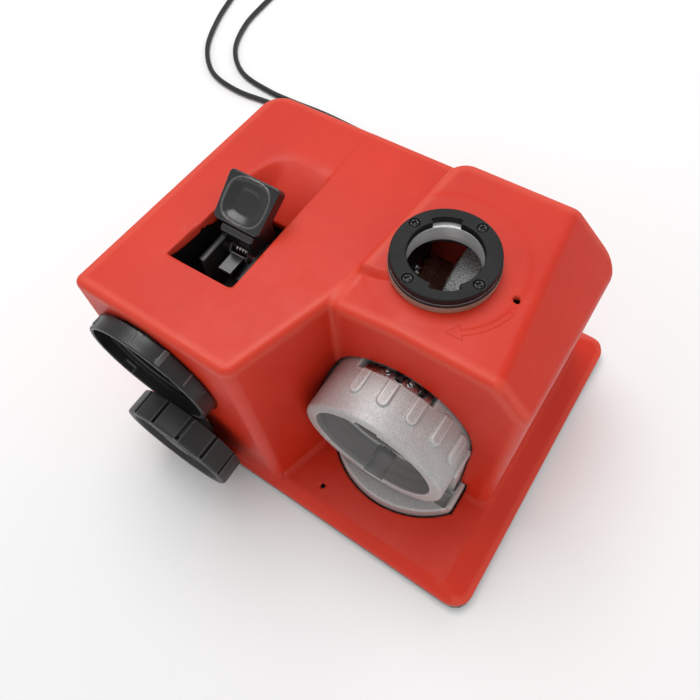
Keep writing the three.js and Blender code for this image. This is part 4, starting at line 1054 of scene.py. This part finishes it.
def relief_fn(x, y, z):
    r = np.hypot(x + 106, z - 30)
    t = np.clip((y - 108) / 26, 0, 1)
    ro = np.where(y < 107.6, np.where(y < 104, 5.8, 7.4), 5.6 - 1.3 * t)
    ro = np.where(y < 92, 7.4, ro)
    d = ri(ri(r - ro, 88 - y, 0.5), y - 134, 0.6)
    g = np.abs(y - 108 - 3.4 * np.round((y - 109.5) / 3.4) - 1.5) - 0.6
    d = np.where((y > 109.5) & (y < 132), cut(d, np.maximum(g, 4.0 - 0.9 * t - r), 0.25), d)
    return cut(d, r - 2.95, 0.2)


sdf_piece("cord_strain_relief", relief_fn, (-115, 86.5, 21), (-97, 136, 39), 0.7, "base", M["cord"], ["strain_relief"])

# ---- finishes and edges of the CAD nodes that stay ------------------------------------------
# alignment_sleeve takes the darker inner copy of the black plastic: painted shade
FINISH = {
    "base_plate": "base", "motor_can": "can", "stator_core": "lamination", "armature_core": "winding", "bearing_rear": "steel", "motor_shaft": "steel", "motor_end_bell": "bell",
    "bearing_front": "steel", "cooling_fan": "black", "motor_saddle": "paint", "bearing_post": "paint", "bearing_outboard": "steel", "wheel_washer": "steel", "wheel_nut": "steel",
    "port_carrier": "paint", "swivel_post": "steel", "alignment_sleeve": "black_inner_painted_shade", "alignment_pawl_left": "steel", "alignment_pawl_right": "steel", "pawl_pin_1": "steel",
    "pawl_pin_2": "steel", "knob_spindle": "steel", "knob_bushing": "brass", "lever_pin": "steel", "lever_bracket": "bracket", "lever_spring": "steel", "switch_body": "black",
    "switch_rocker": "black", "cable_clamp": "black", "plug_pin_1": "steel", "plug_pin_2": "steel",
}
for i in range(4):
    FINISH["rubber_foot_%d" % (i + 1)] = "rubber"
    FINISH["base_screw_%d" % (i + 1)] = "steel"
BEVEL = {"base_plate": 0.6, "switch_body": 0.5, "switch_rocker": 0.6, "motor_saddle": 0.8, "cable_clamp": 0.8, "lever_bracket": 0.5}
for name, mat in FINISH.items():
    o = frame["nodes"][name]
    o.data.materials.clear()
    o.data.materials.append(M[mat])
    o.data.polygons.foreach_set("use_smooth", np.ones(len(o.data.polygons), bool))
    w = o.modifiers.new("weld", "WELD")
    w.merge_threshold = 0.00002
    b = o.modifiers.new("bevel", "BEVEL")
    b.width = BEVEL.get(name, 0.3) / 1000
    b.segments = 2
    b.limit_method = "ANGLE"
    b.angle_limit = math.radians(42)
    b.harden_normals = True
    b.use_clamp_overlap = True


# ---- floor, light --------------------------------------------------------------
def stage():
    n = 40
    v, f = [], []
    for i in range(n + 1):
        for j in range(n + 1):
            v.append(((i / n - 0.5) * 6, (j / n - 0.5) * 6, -0.0002))
    for i in range(n):
        for j in range(n):
            a = i * (n + 1) + j
            f.append((a, a + n + 1, a + n + 2, a + 1))
    me = bpy.data.meshes.new("floor")
    me.from_pydata(v, [], f)
    o = bpy.data.objects.new("floor", me)
    scene.collection.objects.link(o)
    me.materials.append(m_floor())


def area(name, loc, target, size, power, color=(1, 1, 1)):
    d = bpy.data.lights.new(name, "AREA")
    d.shape, d.size, d.energy, d.color = "DISK", size, power, color
    o = bpy.data.objects.new(name, d)
    scene.collection.objects.link(o)
    o.location = loc
    o.rotation_mode = "QUATERNION"
    o.rotation_quaternion = (Vector(target) - Vector(loc)).to_track_quat("-Z", "Y")


stage()
area("key", (-0.45, 0.35, 1.45), (0, 0, 0.08), 1.0, 10.8)
area("fill", (1.2, -1.1, 1.0), (0, 0, 0.08), 1.2, 2.0)
area("front", (-0.9, -1.3, 0.9), (0, 0, 0.08), 1.0, 1.5)
area("rim", (0.2, 1.6, 0.8), (0, 0, 0.1), 0.8, 3.0)
world = bpy.data.worlds.new("studio")
scene.world = world
world.use_nodes = True
bg = world.node_tree.nodes["Background"]
bg.inputs["Color"].default_value = (1, 1, 1, 1)
bg.inputs["Strength"].default_value = 0.6
scene.view_settings.view_transform = "Standard"
scene.view_settings.look = "None"
